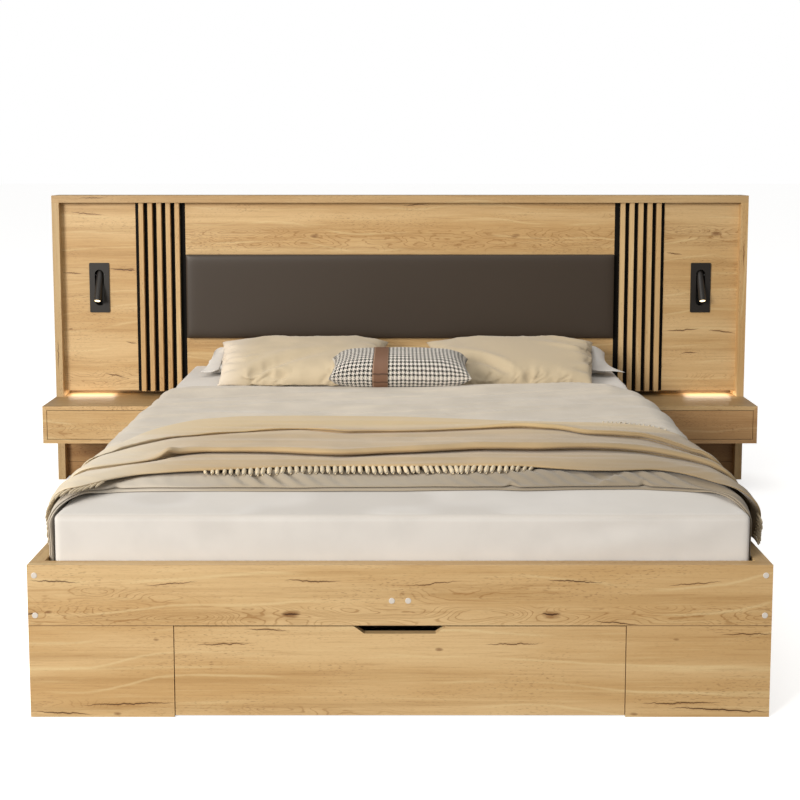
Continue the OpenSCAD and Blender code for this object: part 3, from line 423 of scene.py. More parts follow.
# ---- Mattress ------------------------------------------------------------------------------------
# Foam and springs under a white cotton fitted sheet: crisp rounded edges, faint pulls towards the corners.


def cloth_material(name, code, weave, mottle=0.04, depth=0.00025):
    """Plain woven cloth: threads every weave metres as a fine bump, and a slightly uneven colour."""
    made = new_material(name, code, 0.85, Sheen_Weight=0.25, Sheen_Roughness=0.5)
    place = place_on(made)
    plain = colour(code)[:3]
    dark, light = ([min(1, c * share) for c in plain] + [1] for share in (1 - 2 * mottle, 1 + mottle))
    feed(made, "Base Color", mix(ramp(noise(place, (9, 9, 9), 3), 0.3, 0.7), dark, light))
    emboss(made, noise(place, [1 / weave] * 3, 1), depth, 0.4)
    return made


sheet_white = cloth_material("white_cotton_sheet", "#d6d2cd", 0.0015, mottle=0.025)
low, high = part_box("mattress")
# painted shade: the cloth of the flat top and of the rounded edge is made a little darker, as they catch more
# light than the sides
above = split(place_on(sheet_white))[2] - high.z
mix_in_colour(sheet_white, ramp(above, -0.0004, 0.0004) * 0.5, colour("#c6bfb4"))
mix_in_colour(sheet_white, ramp(above, -0.0122, -0.0012) * ramp(above, 0.0002, -0.0005) * 0.6, colour("#b9b2a8"))
middle = (low + high) / 2 + Vector((0.005, 0, 0))
half = (high - low) / 2 - Vector((0.003, 0, 0))
EDGE, CELL = 0.011, 0.0085
HEAD_START, HEAD_EXTRA = 1.40, 0.016  # from here on the upper part is wider, by so much each side


def rounded_box(half, radius, step):
    """Points and faces of a box with rounded edges, its sides cut into cells about step wide."""
    points, faces = [], []
    for axis in range(3):
        i, j = [k for k in range(3) if k != axis]
        a = np.linspace(-half[i], half[i], int(2 * half[i] / step) + 2)
        b = np.linspace(-half[j], half[j], int(2 * half[j] / step) + 2)
        for sign in (-1, 1):
            q, p = np.meshgrid(b, a)
            side = np.zeros(p.shape + (3,))
            side[..., i], side[..., j], side[..., axis] = p, q, sign * half[axis]
            start = sum(len(x) for x in points)
            points.append(side.reshape(-1, 3))
            faces.append(grid_faces(len(a), len(b), flip=(sign > 0) != (axis == 1)) + start)
    points = np.concatenate(points)
    core = np.clip(points, -(np.array(half) - radius), np.array(half) - radius)
    out = points - core
    length = np.linalg.norm(out, axis=1, keepdims=True)
    return core + out / np.maximum(length, 1e-9) * np.minimum(length, radius), np.concatenate(faces)


points, faces = rounded_box(half, EDGE, CELL)
x, y, z = points.T
wider = np.clip((y + half.y - HEAD_START) / 0.2, 0, 1) * np.clip((z + 0.010) / 0.03, 0, 1)
x += HEAD_EXTRA * wider * np.clip((abs(x) - 0.70) / 0.08, 0, 1) * np.sign(x)
foot = np.clip(1 + (y + half.y) / -0.004, 0, 1)
pull = np.zeros(len(points))
for side in (-1, 1):
    reach = (side * x - 0.28) / 0.52
    lean = np.clip(reach, 0, 1) * (1 - np.clip(reach, 0, 1)) * 4
    pull += lean * np.sin(side * x * 17 - z * 62 + 1.3 * waves(x * 6, z * 9, 5 + side)) * (0.95 + 0.35 * side)
y -= foot * (0.0011 * pull + 0.0016 * waves(x * 5 + 3, z * 9 + y * 4, 9))
z += np.clip((z + half.z * 0.5) / half.z, 0, 1) * 0.0008 * waves(x * 7, y * 7, 11)
mattress = shape("mattress_cover", points + np.array(middle), faces, sheet_white)
mattress.modifiers.new("join_edges", "WELD").merge_threshold = 0.0004
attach(mattress, "bed")
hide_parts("mattress")

# ---- Duvet ---------------------------------------------------------------------------------------
# Pale grey cotton over a thin filling, folded double, so its foot hem shows two layers. It lies over the
# mattress and hangs down at both sides, where its hem sweeps forward to the front corner.

START, TOP = low.y, high.z + 0.0006  # the mattress's foot end, and the height at which cloth lies on it
FLAT = 0.771  # half of the width on which it lies flat


def bed_line():
    """The line that cloth follows across the bed, as (distance from the middle, x, z)."""
    turn = np.linspace(0, math.pi / 2, 24)
    bend_x, bend_z, lowest = 0.040, 0.036, 0.3585
    x = np.concatenate([[0], FLAT + bend_x * np.sin(turn), [FLAT + bend_x + 0.001]])
    z = np.concatenate([[TOP], TOP - bend_z * (1 - np.cos(turn)), [lowest]])
    return np.concatenate([[0], np.cumsum(np.hypot(np.diff(x), np.diff(z)))]), x, z


LINE = bed_line()
REACH = LINE[0][-1]
# the sides hang close at the foot and stand out more towards the middle
SWING_Y = [0.0, 0.08, 0.2, 0.35, 0.6, 0.9, 1.05, 1.17, 1.35, 1.45]
SWING_LEFT = [-0.0135, -0.012, -0.008, -0.003, 0.002, 0.013, 0.009, -0.001, -0.009, -0.012]
SWING_RIGHT = [-0.0135, -0.012, -0.008, -0.003, 0.000, 0.023, 0.028, 0.030, 0.012, 0.002]


def smoothstep(x, low, high):
    t = np.clip((x - low) / (high - low), 0, 1)
    return t * t * (3 - 2 * t)


def on_bed(s, y, h, out=0.0):
    """Points h metres off the bed's surface, at the distance s across and y from the mattress's foot end.
    The hanging sides stand out by so much more, fully on the right and partly on the left."""
    far = np.clip(abs(s), 0, REACH)
    before, after = np.maximum(far - 0.006, 0), np.minimum(far + 0.006, REACH)
    x, z = (np.interp(far, LINE[0], line) for line in LINE[1:])
    dx, dz = (np.interp(after, LINE[0], line) - np.interp(before, LINE[0], line) for line in LINE[1:])
    span = np.hypot(dx, dz)
    swing = np.where(s > 0, np.interp(y, SWING_Y, SWING_RIGHT) + out,
                     np.interp(y, SWING_Y, SWING_LEFT) + 0.23 * out)
    x = x + swing * smoothstep(far, FLAT, 0.835)
    z = z - 0.014 * smoothstep(far, 0.82, REACH) * (1 - smoothstep(y, 0.03, 0.15))
    return np.stack([np.sign(s) * (x - h * dz / span), START + y, z + h * dx / span], -1)


def hump(x, width):
    return np.exp(-(x / width) ** 2)


def along(table, s):
    """A table of (distance across, value) read at s, with its corners smoothed."""
    table = np.array(table)
    total = sum(np.interp(s + shift, table[:, 0], table[:, 1]) for shift in np.linspace(-0.02, 0.02, 9))
    return total / 9


def spline(controls, steps):
    """A smooth line through control points, given as arrays over all stations, steps points a span."""
    c = np.stack([np.stack(np.broadcast_arrays(*p), -1) for p in controls])
    c = np.concatenate([2 * c[:1] - c[1:2], c, 2 * c[-1:] - c[-2:-1]])
    out = []
    for i in range(1, len(c) - 2):
        for t in np.linspace(0, 1, steps, endpoint=False):
            out.append(0.5 * ((2 * c[i]) + (c[i + 1] - c[i - 1]) * t
                              + (2 * c[i - 1] - 5 * c[i] + 4 * c[i + 1] - c[i + 2]) * t ** 2
                              + (3 * c[i] - c[i - 1] - 3 * c[i + 1] + c[i + 2]) * t ** 3))
    out.append(c[-2])
    return np.stack(out)


# the throw's hems and creases are needed first, because the duvet lies flat under it
THROW_FOOT = [(-.93, .17), (-.86, .13), (-.79, .115), (-.76, .121), (-.734, .165), (-.701, .20), (-.648, .24),
              (-.542, .269), (-.407, .292), (-.255, .319), (0, .319), (.2, .324), (.306, .322), (.387, .299),
              (.467, .278), (.535, .276), (.638, .288), (.693, .26), (.74, .203), (.769, .152), (.803, .11),
              (.86, .12), (.93, .18)]
THROW_HEAD = [(-.93, .40), (-.82, .45), (-.79, .49), (-.766, .579), (-.727, .723), (-.672, .811), (-.61, .88),
              (-.491, .926), (-.306, .937), (0, .923), (.181, .894), (.358, .862), (.553, .845), (.651, .832),
              (.743, .78), (.793, .67), (.83, .56), (.93, .45)]
DUVET_FOOT = [(-.93, .030), (-.86, .022), (-.825, .014), (-.80, .016), (-.785, .06), (-.775, .11),
              (-.762, .15), (-.735, .174), (-.694, .190), (-.632, .198), (-.484, .200), (-.242, .200),
              (0, .204), (.243, .214), (.289, .206), (.45, .214), (.585, .220), (.605, .214), (.70, .196),
              (.735, .18), (.762, .15), (.775, .11), (.785, .06), (.80, .018), (.83, .014), (.86, .022),
              (.93, .030)]
DUVET_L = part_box("duvet")[1].y - START

s = np.linspace(-REACH, REACH, 401)
hem = along(DUVET_FOOT, s)
pinch = sum(a * hump(s - m, w) for m, w, a in ((0.274, 0.013, 1.0), (0.60, 0.010, 0.8), (-0.694, 0.012, 0.7)))
lower = hem - 0.004 - 0.003 * waves(s * 9, 0, 21)
upper = hem + 0.016 * pinch + 0.003 * waves(s * 12, 0, 22)
thick = 0.021 * (0.45 + 0.55 * smoothstep(REACH - abs(s), 0.0, 0.035))
nose = np.minimum(thick, 0.0125) * (1 - 0.2 * smoothstep(abs(s), 0.78, 0.83))
stand = 0.010 * hump(abs(s) - 0.768, 0.035)
path = [(hem + 0.10, thick * 0.03), (lower + 0.035, thick * 0.05 + stand), (lower, nose * 0.06 + stand),
        (lower - 0.002, nose * 0.25 + stand * 0.9), (lower + 0.003, nose * 0.42 + stand * 0.8),
        (lower + 0.014, nose * 0.48 + stand * 0.7), (upper + 0.006, nose * 0.52 + stand * 0.7),
        (upper, nose * 0.74 + stand * 0.6), (upper + 0.006, nose + stand * 0.4), (upper + 0.022, nose * 1.2),
        (upper + 0.065, thick)]
puff = (0.35 + 0.55 * smoothstep(s, 0.05, 0.35)) * (1 - smoothstep(abs(s), 0.70, 0.79))
path += [(upper + 0.065 + (DUVET_L - 0.012 - upper - 0.065) * t, thick * (1 + puff * smoothstep(t, 0.88, 0.98)))
         for t in np.linspace(0.03, 1, 60)]
path += [(DUVET_L - 0.003, thick * (0.85 + 0.8 * puff)), (DUVET_L, thick * (0.45 + 0.4 * puff)),
         (DUVET_L - 0.008, thick * 0.05), (0.75, thick * 0.03)]
section = spline(path, 4)
y, h = section[..., 0], section[..., 1]
across = np.broadcast_to(s, y.shape)
under_throw = smoothstep(y, along(THROW_FOOT, s) - 0.005, along(THROW_FOOT, s) + 0.02) \
    * (1 - smoothstep(y, along(THROW_HEAD, s) - 0.03, along(THROW_HEAD, s)))
face = smoothstep(h / thick, 0.42, 0.80)
band = 1 - smoothstep(y, 0.34, 0.42)
# short folds run from under the throw to the hem, wider ones lie on the head side
slanted = np.sin((across + 0.62 * y) * 138 + 2.6 * waves(across * 7, y * 3, 31))
ripple = 0.0070 * band * slanted * (0.35 + 0.65 * waves(across * 6, y * 4, 32))
ripple *= smoothstep(across, -0.72, -0.55) * (1 - 0.45 * smoothstep(across, 0.25, 0.45))
ripple += 0.0045 * band * waves(across * 8, y * 10, 35)
ripple += 0.0045 * waves(across * 2.0 + y, y * 11 + across * 1.7, 33) * (1 - band)
ripple += 0.0052 * (1 - abs(waves(across * 1.1 + 5, y * 17 - across * 2.6, 34))) ** 5 * (1 - band)
# one flap of the hem's upper layer is folded over to the right
flap = (across - 0.437) - (y - 0.17) * 1.03
ripple += band * (across > 0.3) * (0.007 * smoothstep(flap, -0.004, 0.005) * np.exp(-np.maximum(flap, 0) / 0.11)
                                   - 0.004 * hump(flap + 0.03, 0.035))
h = h + face * (ripple * (1 - 0.85 * under_throw) + 0.009 * pinch * hump(y - upper, 0.022))
points = on_bed(across, y, np.maximum(h, 0.0003)).reshape(-1, 3)
rows, cols = y.shape
faces = grid_faces(rows, cols, flip=True, ring=True)
ends = [np.arange(rows) * cols, (np.arange(rows) * cols + cols - 1)[::-1]]
duvet_grey = cloth_material("pale_grey_cotton", "#c5bbab", 0.0012)
spot = split(place_on(duvet_grey))
# painted shade: the foot band between the throw and the hem is darker, as in the throw's shadow, and darker
# still to the right
painted_shade_band = ramp(spot[1], START + 0.36, START + 0.33) * ramp(spot[0], -0.68, -0.35)
mix_in_colour(duvet_grey, painted_shade_band, mix(ramp(spot[0], -0.1, 0.45), colour("#a39681"), colour("#8d806c")))
duvet = shape("duvet_cover", points, [*faces, *ends], duvet_grey)
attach(duvet, "bed")
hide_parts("duvet")

# ---- Throw ---------------------------------------------------------------------------------------
# Beige woven cloth with thick tassels, laid across the bed and pushed into long overlapping folds.

OUT = 0.024  # how much further than the duvet its front corners stand out
LIFT = 0.0225  # how high it lies over the bed, on the duvet
MAIN = [(-.93, .24), (-.84, .25), (-.80, .27), (-.72, .32), (-.633, .375), (-.605, .40), (-.572, .432),
        (-.518, .452), (-.384, .448), (-.318, .44), (-.264, .427), (-.149, .405), (-.055, .427), (.077, .45),
        (.211, .475), (.373, .467), (.498, .476), (.586, .465), (.647, .445), (.703, .40), (.759, .355),
        (.789, .30), (.83, .25), (.93, .25)]
UPPER = [(-.93, .33), (-.84, .38), (-.79, .43), (-.72, .54), (-.638, .633), (-.461, .70), (-.291, .74),
         (-.154, .69), (.083, .709), (.281, .745), (.348, .75), (.463, .725), (.525, .665), (.615, .635),
         (.682, .61), (.733, .53), (.774, .44), (.81, .37), (.93, .33)]
MAIN_FOLD = [(-.93, .15), (-.66, .2), (-.62, .9), (-.58, 1.1), (-.5, .8), (-.3, 1.0), (0, 1.1), (.5, 1.1),
             (.75, .9), (.93, .4)]
UPPER_FOLD = [(-.93, .2), (-.5, .25), (-.2, .35), (0, .2), (.2, .5), (.35, 1.0), (.6, 1.2), (.75, 1.1),
              (.93, .5)]

s = np.linspace(-REACH, REACH, 441)
foot, head, main, upper, a, b = (along(table, s) for table in (
    THROW_FOOT, THROW_HEAD, MAIN, UPPER, MAIN_FOLD, UPPER_FOLD))
w, w2 = 0.026 * a, 0.016 * b
band = main - foot
path = [(foot + 0.05, 0.0015), (foot + 0.010, 0.0055), (foot, 0.0080), (foot + 0.003, 0.0120),
        (foot + 0.2 * band, 0.0155), (foot + 0.45 * band, 0.0175), (foot + 0.78 * band, 0.0120),
        (main + 0.5 * w, 0.0065), (main + w, 0.0085), (main + 0.5 * w, 0.0105 + 0.0015 * a),
        (main - 0.002, 0.0110 + 0.0035 * a), (main - 0.007 * a, 0.0110 + 0.0105 * a),
        (main + 0.003, 0.0115 + 0.0165 * a), (main + 0.022, 0.0125 + 0.0150 * a),
        (main + 0.45 * (upper - main), 0.0130 + 0.004 * a), (upper - 0.035, 0.0105),
        (upper + 0.5 * w2, 0.0070), (upper + w2, 0.0085), (upper + 0.4 * w2, 0.0100 + 0.001 * b),
        (upper - 0.003, 0.0105 + 0.003 * b), (upper - 0.005, 0.0108 + 0.0085 * b),
        (upper + 0.006, 0.0115 + 0.0125 * b), (upper + 0.45 * (head - upper), 0.0120 + 0.004 * b),
        (head - 0.022, 0.0095), (head - 0.004, 0.0070), (head, 0.0035), (head - 0.012, 0.001),
        (head - 0.05, 0.0015)]
section = spline(path, 8)
y, h = section[..., 0], section[..., 1]
across = np.broadcast_to(s, y.shape)
free = smoothstep(h, 0.009, 0.013)
fine = waves(across * 2.4 + 9, y * 36 + across * 2.4, 41) * 0.0020
fine += waves(across * 1.3, y * 14 - across, 42) * 0.0034 + 0.0006 * waves(across * 9, y * 80, 43)
fine += 0.011 * hump(across + 0.60, 0.020) * hump(y - 0.40, 0.028)


def on_duvet(s, y, h):
    """Points h metres off the bed's surface, as on_bed gives them, where the throw hangs."""
    return on_bed(s, y, h, OUT * smoothstep(0.32 - y, 0, 0.2))


points = on_duvet(across, y, h + free * fine + LIFT).reshape(-1, 3)
throw_beige = cloth_material("beige_woven_cotton", "#b49b73", 0.0018, mottle=0.05, depth=0.0004)
spot = split(place_on(throw_beige))
# painted light and shade: the cloth is lighter on the left side and lighter and yellower towards the head hem,
# where the light falls, and darker towards the right
painted_light_head_band = ramp(noise(place_on(throw_beige), (2, 5, 5), 2) * 0.3 + spot[1], START + 0.78, START + 0.95)
mix_in_colour(throw_beige, ramp(spot[0], 0.15, 0.75), colour("#937e5c"))
mix_in_colour(throw_beige, ramp(spot[0], -0.50, -0.80) * 0.85, colour("#dccfb6"))
mix_in_colour(throw_beige, painted_light_head_band * 0.7, colour("#cdb483"))
throw = shape("throw_cloth", points, grid_faces(*y.shape, flip=True), throw_beige)
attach(throw, "bed")
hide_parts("throw")


SIDES = RINGS = 7
ROPE_SWELL = np.array([0.75, 1.0, 1.05, 1.0, 1.05, 0.9, 0.45])


def tassel(start, end, radius, rng):
    """A short tassel from start to end, in (s, y, h), bowed and a little uneven."""
    t = np.linspace(0, 1, RINGS)[:, None]
    line = np.array(start) * (1 - t) + np.array(end) * t
    line[:, 2] += 0.002 * np.sin(t[:, 0] * math.pi)
    line[:, 0] += rng.normal(0, 0.0010) * np.sin(t[:, 0] * math.pi)
    points = []
    for angle in np.linspace(0, 2 * math.pi, SIDES, endpoint=False):
        ds, dh = np.cos(angle) * radius * ROPE_SWELL, np.sin(angle) * radius * ROPE_SWELL
        points.append(on_duvet(line[:, 0] + ds, line[:, 1], np.maximum(line[:, 2] + dh, LIFT - 0.001)))
    return np.stack(points, 1).reshape(-1, 3)


rng = np.random.RandomState(7)
tassels, faces = [], []
k = np.arange(SIDES)
ring = np.stack([k, (k + 1) % SIDES, (k + 1) % SIDES + SIDES, k + SIDES], 1)
ring = np.concatenate([ring + r * SIDES for r in range(RINGS - 1)])
# thick tassels at the foot hem's middle, thin ones near its ends and at the head hem
FIRST, LAST = -0.490, 0.35
places = []
for p in np.arange(FIRST, LAST, 0.0162):
    grown = min(1, 0.3 + (p - FIRST) / 0.16) * min(1, 0.35 + (LAST - p) / 0.18)
    places.append((p, THROW_FOOT, -0.050 * grown, 0.0060 * (0.55 + 0.45 * grown), 0.004 - 0.012 * (p > 0.15)))
for first, last, gap, *rest in ((-0.915, -0.715, 0.0098, THROW_FOOT, -0.040, 0.0027, -0.010),
                                (0.83, 0.92, 0.0098, THROW_FOOT, -0.036, 0.0027, 0.010),
                                (0.60, 0.765, 0.0125, THROW_HEAD, 0.020, 0.0026, 0.008)):
    places += [(p, *rest) for p in np.arange(first, last, gap)]
for p, table, length, radius, slant in places:
    hem_y = float(along(table, np.array([p]))[0])
    end = (p + slant + rng.normal(0, 0.0016), hem_y + length * rng.uniform(0.88, 1.06), 0.0262)
    tuft = tassel((p, hem_y - math.copysign(0.008, length), 0.0265), end, radius, rng)
    first = len(tassels) * RINGS * SIDES
    tassels.append(tuft)
    turn = 1 if length > 0 else -1
    cap = first + (RINGS - 1) * SIDES + np.arange(SIDES)
    faces += [tuple(f[::turn] + first) for f in ring] + [tuple(cap[::-turn])]
fringe_beige = cloth_material("beige_twisted_yarn", "#d8c6a4", 0.0025, mottle=0.08, depth=0.0012)
fringe = shape("throw_fringe", np.concatenate(tassels), faces, fringe_beige)
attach(fringe, "bed")

# ---- Pillows -------------------------------------------------------------------------------------
# Cotton cases over soft filling. Each case is sewn from two flat pieces and blown up in a cloth simulation,
# which gives the drawn-in sides and the folds at the corners, then settled on what it lies on.


def flat_case(size, cell, seed):
    """Two flat pieces of cloth joined at their rim: their points, faces and, for each point, its place from -1
    to 1.
    """
    cols, rows = int(size[0] / cell) | 1, int(size[1] / cell) | 1
    v, u = np.meshgrid(np.linspace(-1, 1, rows), np.linspace(-1, 1, cols), indexing="ij")
    lift = 0.004 * (1 - abs(u) ** 6) * (1 - abs(v) ** 6) + 0.0008 * waves(u * 9, v * 9, seed)
    inside = (abs(u) < 1) & (abs(v) < 1)
    top = np.stack([u * size[0] / 2, v * size[1] / 2, np.where(inside, lift, 0)], -1).reshape(-1, 3)
    index = np.arange(rows * cols).reshape(rows, cols)
    lower = index.copy()
    lower[inside] = rows * cols + np.arange(inside.sum())
    under = top[inside.ravel()] * [1, 1, -1]
    faces = grid_faces(rows, cols)
    uv = np.stack([u.ravel(), v.ravel()], -1)
    return (np.concatenate([top, under]), np.concatenate([faces, lower.ravel()[faces[:, ::-1]]]),
            np.concatenate([uv, uv[inside.ravel()]]))


def inflate(thing, frames=20):
    """Blows a case up as cloth, without gravity, and gives the points it reaches."""
    cloth = thing.modifiers.new("cloth", "CLOTH")
    sewn = dict(quality=5, mass=0.2, tension_stiffness=12, compression_stiffness=12, shear_stiffness=6,
                bending_stiffness=0.25, use_pressure=True, uniform_pressure_force=4.0)
    for key, value in sewn.items():
        setattr(cloth.settings, key, value)
    cloth.settings.effector_weights.gravity = 0
    cloth.collision_settings.use_self_collision = False
    cloth.point_cache.frame_start, cloth.point_cache.frame_end = 1, frames
    scene = bpy.context.scene
    for f in range(1, frames + 1):
        scene.frame_set(f)
    held = thing.evaluated_get(bpy.context.evaluated_depsgraph_get())
    points = np.zeros(len(held.data.vertices) * 3)
    held.data.vertices.foreach_get("co", points)
    thing.modifiers.remove(cloth)
    scene.frame_set(1)
    return points.reshape(-1, 3)


def squared(points, uv, outline):
    """Draws the plan of a blown-up case out to outline(u, v), which gives the half width and half depth."""
    u, v = uv.T
    for axis, fixed, own in ((0, v, u), (1, u, v)):
        rows = np.unique(np.round(fixed, 6), return_inverse=True)[1]
        most, least = np.full(rows.max() + 1, -9.0), np.full(rows.max() + 1, 9.0)
        np.maximum.at(most, rows, points[:, axis])
        np.minimum.at(least, rows, points[:, axis])
        share = 2 * (points[:, axis] - least[rows]) / (most - least)[rows] - 1
        points[:, axis] = np.where(abs(fixed) < 0.999, share, own)
    half_x, half_y = outline(points[:, 0].copy(), points[:, 1].copy())
    points[:, 0] *= half_x
    points[:, 1] *= half_y
    return points


BELLY = 0.35  # how much of its lower half's thickness a resting case keeps


def tilted(y, z, degrees):
    """y and z rotated about X, so that the head side rises."""
    angle = math.radians(degrees)
    return y * math.cos(angle) - z * math.sin(angle), y * math.sin(angle) + z * math.cos(angle)


def pillow(name, size, lean, box, middle_x, material, seed, relief, outline=None):
    """A case of the given width, depth and thickness, leaning back so many degrees, which rests where its box
    does. relief(u, v) raises its upper side and outline draws its plan."""
    low, high = box
    flat, faces, uv = flat_case((size[0] * 1.06, size[1] * 1.08), 0.0075, seed)
    made = shape(name, flat, faces, material, uv)
    u, v = uv.T
    points = inflate(made)
    points -= (points.max(0) + points.min(0)) / 2
    points[:, 2] *= size[2] / (points[:, 2].max() - points[:, 2].min())
    points = squared(points, uv, outline or (lambda a, b: (size[0] / 2, size[1] / 2)))
    under = points[:, 2] < 0
    points[under, 2] *= BELLY
    points[:, 2] += np.where(under, 0, relief(u, v))
    points[:, 1], points[:, 2] = tilted(points[:, 1], points[:, 2], lean)
    points += [middle_x, (low.y + high.y) / 2, low.z - points[:, 2].min()]
    made.data.vertices.foreach_set("co", points.ravel())
    made.data.update()
    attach(made, "bed")
    return made


def dents(*places):
    """Creases in a case: each is (u, v, angle in degrees, length, width, depth), with u and v from -1 to 1."""
    def relief(u, v):
        total = 0.0015 * waves(u * 5, v * 3, 81)
        for u0, v0, turn, length, width, depth in places:
            c, k = math.cos(math.radians(turn)), math.sin(math.radians(turn))
            a, b = (u - u0) * c + (v - v0) * k, (v - v0) * c - (u - u0) * k
            ridge = hump(b, width) - 0.5 * hump(b - 1.6 * width, width)
            total = total + 1.5 * depth * hump(a, length) * ridge
        return total
    return relief


white_cotton = cloth_material("white_cotton_case", "#d6d2cc", 0.0012)
cream_cotton = cloth_material("cream_cotton_case", "#c5b496", 0.0012)
spot = split(place_on(cream_cotton))
# painted light and shade: the cream cases are lighter at the far left and darker to the right
mix_in_colour(cream_cotton, ramp(spot[0], -0.52, -0.68), colour("#dccfbd"))
mix_in_colour(cream_cotton, ramp(spot[0], 0.15, 0.45), colour("#bdac8e"))
low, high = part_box("back_pillows")
for side, middle_x, seed in (("left", -0.400, 61), ("right", 0.440, 62)):
    case = pillow("back_pillow_" + side, (0.66, high.y - low.y, 0.078), 0, (low, high), middle_x, white_cotton,
                  seed, dents((-0.9, 0, 0, 0.2, 0.15, 0.006), (0.9, 0.1, 10, 0.2, 0.15, 0.006)))
    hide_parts("back_pillows")
BESIDE = ((-0.93, 0.55, -8, 0.16, 0.07, 0.007), (-0.90, 0.2, -4, 0.2, 0.06, 0.008),
          (-0.92, -0.15, 3, 0.22, 0.06, 0.009), (-0.90, -0.5, 10, 0.2, 0.07, 0.008),
          (-0.85, -0.75, 25, 0.2, 0.07, 0.006))
CREASES = {"left": BESIDE + ((-0.35, -0.55, 38, 0.28, 0.07, -0.009), (-0.05, -0.3, 35, 0.35, 0.09, -0.007),
                             (-0.65, -0.3, 12, 0.2, 0.05, 0.006), (-0.2, -0.75, 5, 0.12, 0.08, -0.010),
                             (0.9, 0.3, 0, 0.15, 0.08, 0.008)),
           "right": tuple((-a, b, -c, d, e, f) for a, b, c, d, e, f in BESIDE)
           + ((-0.30, -0.45, -52, 0.30, 0.07, -0.010), (-0.75, -0.2, -30, 0.35, 0.12, -0.012),
              (0.12, -0.8, 80, 0.12, 0.06, -0.012), (0.55, 0.45, -18, 0.25, 0.06, 0.007),
              (0.55, 0.1, -25, 0.25, 0.06, 0.007))}
for side, middle_x, seed, nip in (("left", -0.3665, 63, 0), ("right", 0.4260, 64, 0.006)):
    case = pillow(
        "pillow_case_" + side, (0.63, 0.43, 0.130), 12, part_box("pillow_" + side), middle_x, cream_cotton, seed,
        dents(*CREASES[side]),
        lambda a, b: (0.292 + 0.021 * b + 0.011 * b ** 6 - nip * (1 - b) ** 2, 0.202 + 0.016 * a ** 8))
    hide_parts("pillow_" + side)

# the loose open ends of the white cases stand up behind the cream ones
ENDS = {
    "left": [[(-.668, .84, .550), (-.684, .83, .552), (-.697, .815, .548), (-.704, .80, .540)],
             [(-.672, .81, .520), (-.690, .80, .525), (-.706, .785, .522), (-.714, .77, .512)],
             [(-.676, .77, .498), (-.694, .76, .500), (-.716, .745, .498), (-.728, .735, .490)],
             [(-.676, .72, .486), (-.690, .70, .483), (-.712, .695, .480), (-.742, .70, .481)]],
    "right": [[(.718, .85, .552), (.740, .84, .556), (.764, .85, .544), (.785, .86, .527)],
              [(.716, .81, .520), (.742, .79, .528), (.772, .80, .512), (.782, .82, .500)],
              [(.716, .76, .498), (.742, .75, .502), (.778, .76, .496), (.800, .765, .486)],
              [(.716, .71, .486), (.744, .695, .484), (.790, .70, .484), (.838, .715, .476)]],
}
for side, corners in ENDS.items():
    rows = spline([tuple(row) for row in np.array(corners).transpose(0, 2, 1)], 8)
    rows = spline([tuple(rows[:, i].T) for i in range(4)], 8)
    points = rows.reshape(-1, 3)
    sign = -1 if side == "left" else 1
    points[:, 1] -= 0.005 * waves(points[:, 0] * 40, points[:, 2] * 30, 71)
    flap = shape("case_end_" + side, points, grid_faces(*rows.shape[:2], flip=sign < 0), white_cotton)
    solid = flap.modifiers.new("hem", "SOLIDIFY")
    solid.thickness, solid.offset = 0.0018, 0
    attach(flap, "bed")
    (0.07, 0.105) if sign < 0 else (0.10, 0.13)
    "back_pillow_" + side

# ---- Lumbar cushion ------------------------------------------------------------------------------
# Houndstooth weave in black and white, eight threads a repeat, over a soft filling, shaped by formula and
# gathered towards its corners; a brown strap is stitched round it.

houndstooth = new_material("houndstooth_weave", "#8f8c88", 0.85, Sheen_Weight=0.2)
REPEAT, THREADS = 0.0143, 8
WIDE, TALL = 0.49, 0.27
spot = split(place_on(houndstooth, "UV"))
warp, weft = ((spot[i] * (size / 2 / REPEAT * THREADS)).calc("FLOOR") for i, size in ((0, WIDE), (1, TALL)))
warp_dark, weft_dark = (line.calc("FLOORED_MODULO", THREADS).calc("LESS_THAN", 3.5) for line in (warp, weft))
warp_over = (warp + weft).calc("FLOORED_MODULO", THREADS / 2).calc("LESS_THAN", 1.5)
dark = warp_over * (warp_dark - weft_dark) + weft_dark
feed(houndstooth, "Base Color", mix(dark, colour("#d8d2c8"), colour("#15120f")))

FRONT, BACK = 0.066, 0.055  # thickness before and behind the seam
DRAWN, FULL = 0.108, 0.52  # half of its height, and how full it is towards the seam


def drawn_in(t, extra, power):
    """-1 to 1, with the sides drawn in less than the middle by the share extra."""
    return t * (1 + extra * (1 - abs(t) ** power))


low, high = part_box("lumbar_cushion")
flat, faces, uv = flat_case((WIDE, 0.23), 0.004, 66)
u, v = np.sign(uv.T) * (1 - (1 - abs(uv.T)) ** np.array([[1.35], [1.7]]))
full = bulge(u, 4.5, FULL) * bulge(v, 2.6, FULL)
x = drawn_in(u, 0.10, 3) * (0.230 + 0.0155 * v * v)
y = drawn_in(v, 0.25, 2.5) * (DRAWN + 0.008 * u * u)
gather = full ** 0.5 * (abs(u) ** 9 * np.sin(v * 17 + 2 * u)
                        + 0.5 * abs(v) ** 7 * np.sin(u * 46 + 3 * waves(u * 5, v, 91)))
z = np.where(flat[:, 2] < 0, -BACK, FRONT) * full + 0.004 * gather + 0.0016 * waves(u * 4, v * 3, 92)
y, z = tilted(y, z, 7)
points = np.stack([x + (low.x + high.x) / 2, y + (low.y + high.y) / 2,
                   np.maximum(z + 0.051, 0.0005) + low.z], -1)
# the weave keeps its size over the curve, so its coordinates go by the length along the cloth
line = np.linspace(-1, 1, 401)
steps = np.hypot(np.diff(FRONT * bulge(line, 2.6, FULL)), np.diff(DRAWN * drawn_in(line, 0.25, 2.5)))
length = np.concatenate([[0], np.cumsum(steps)])
weave = np.stack([drawn_in(u, 0.10, 3), np.interp(v, line, 2 * length / length[-1] - 1)], -1)
lumbar = shape("lumbar_case", points, faces, houndstooth, weave)
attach(lumbar, "bed")
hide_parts("lumbar_cushion")

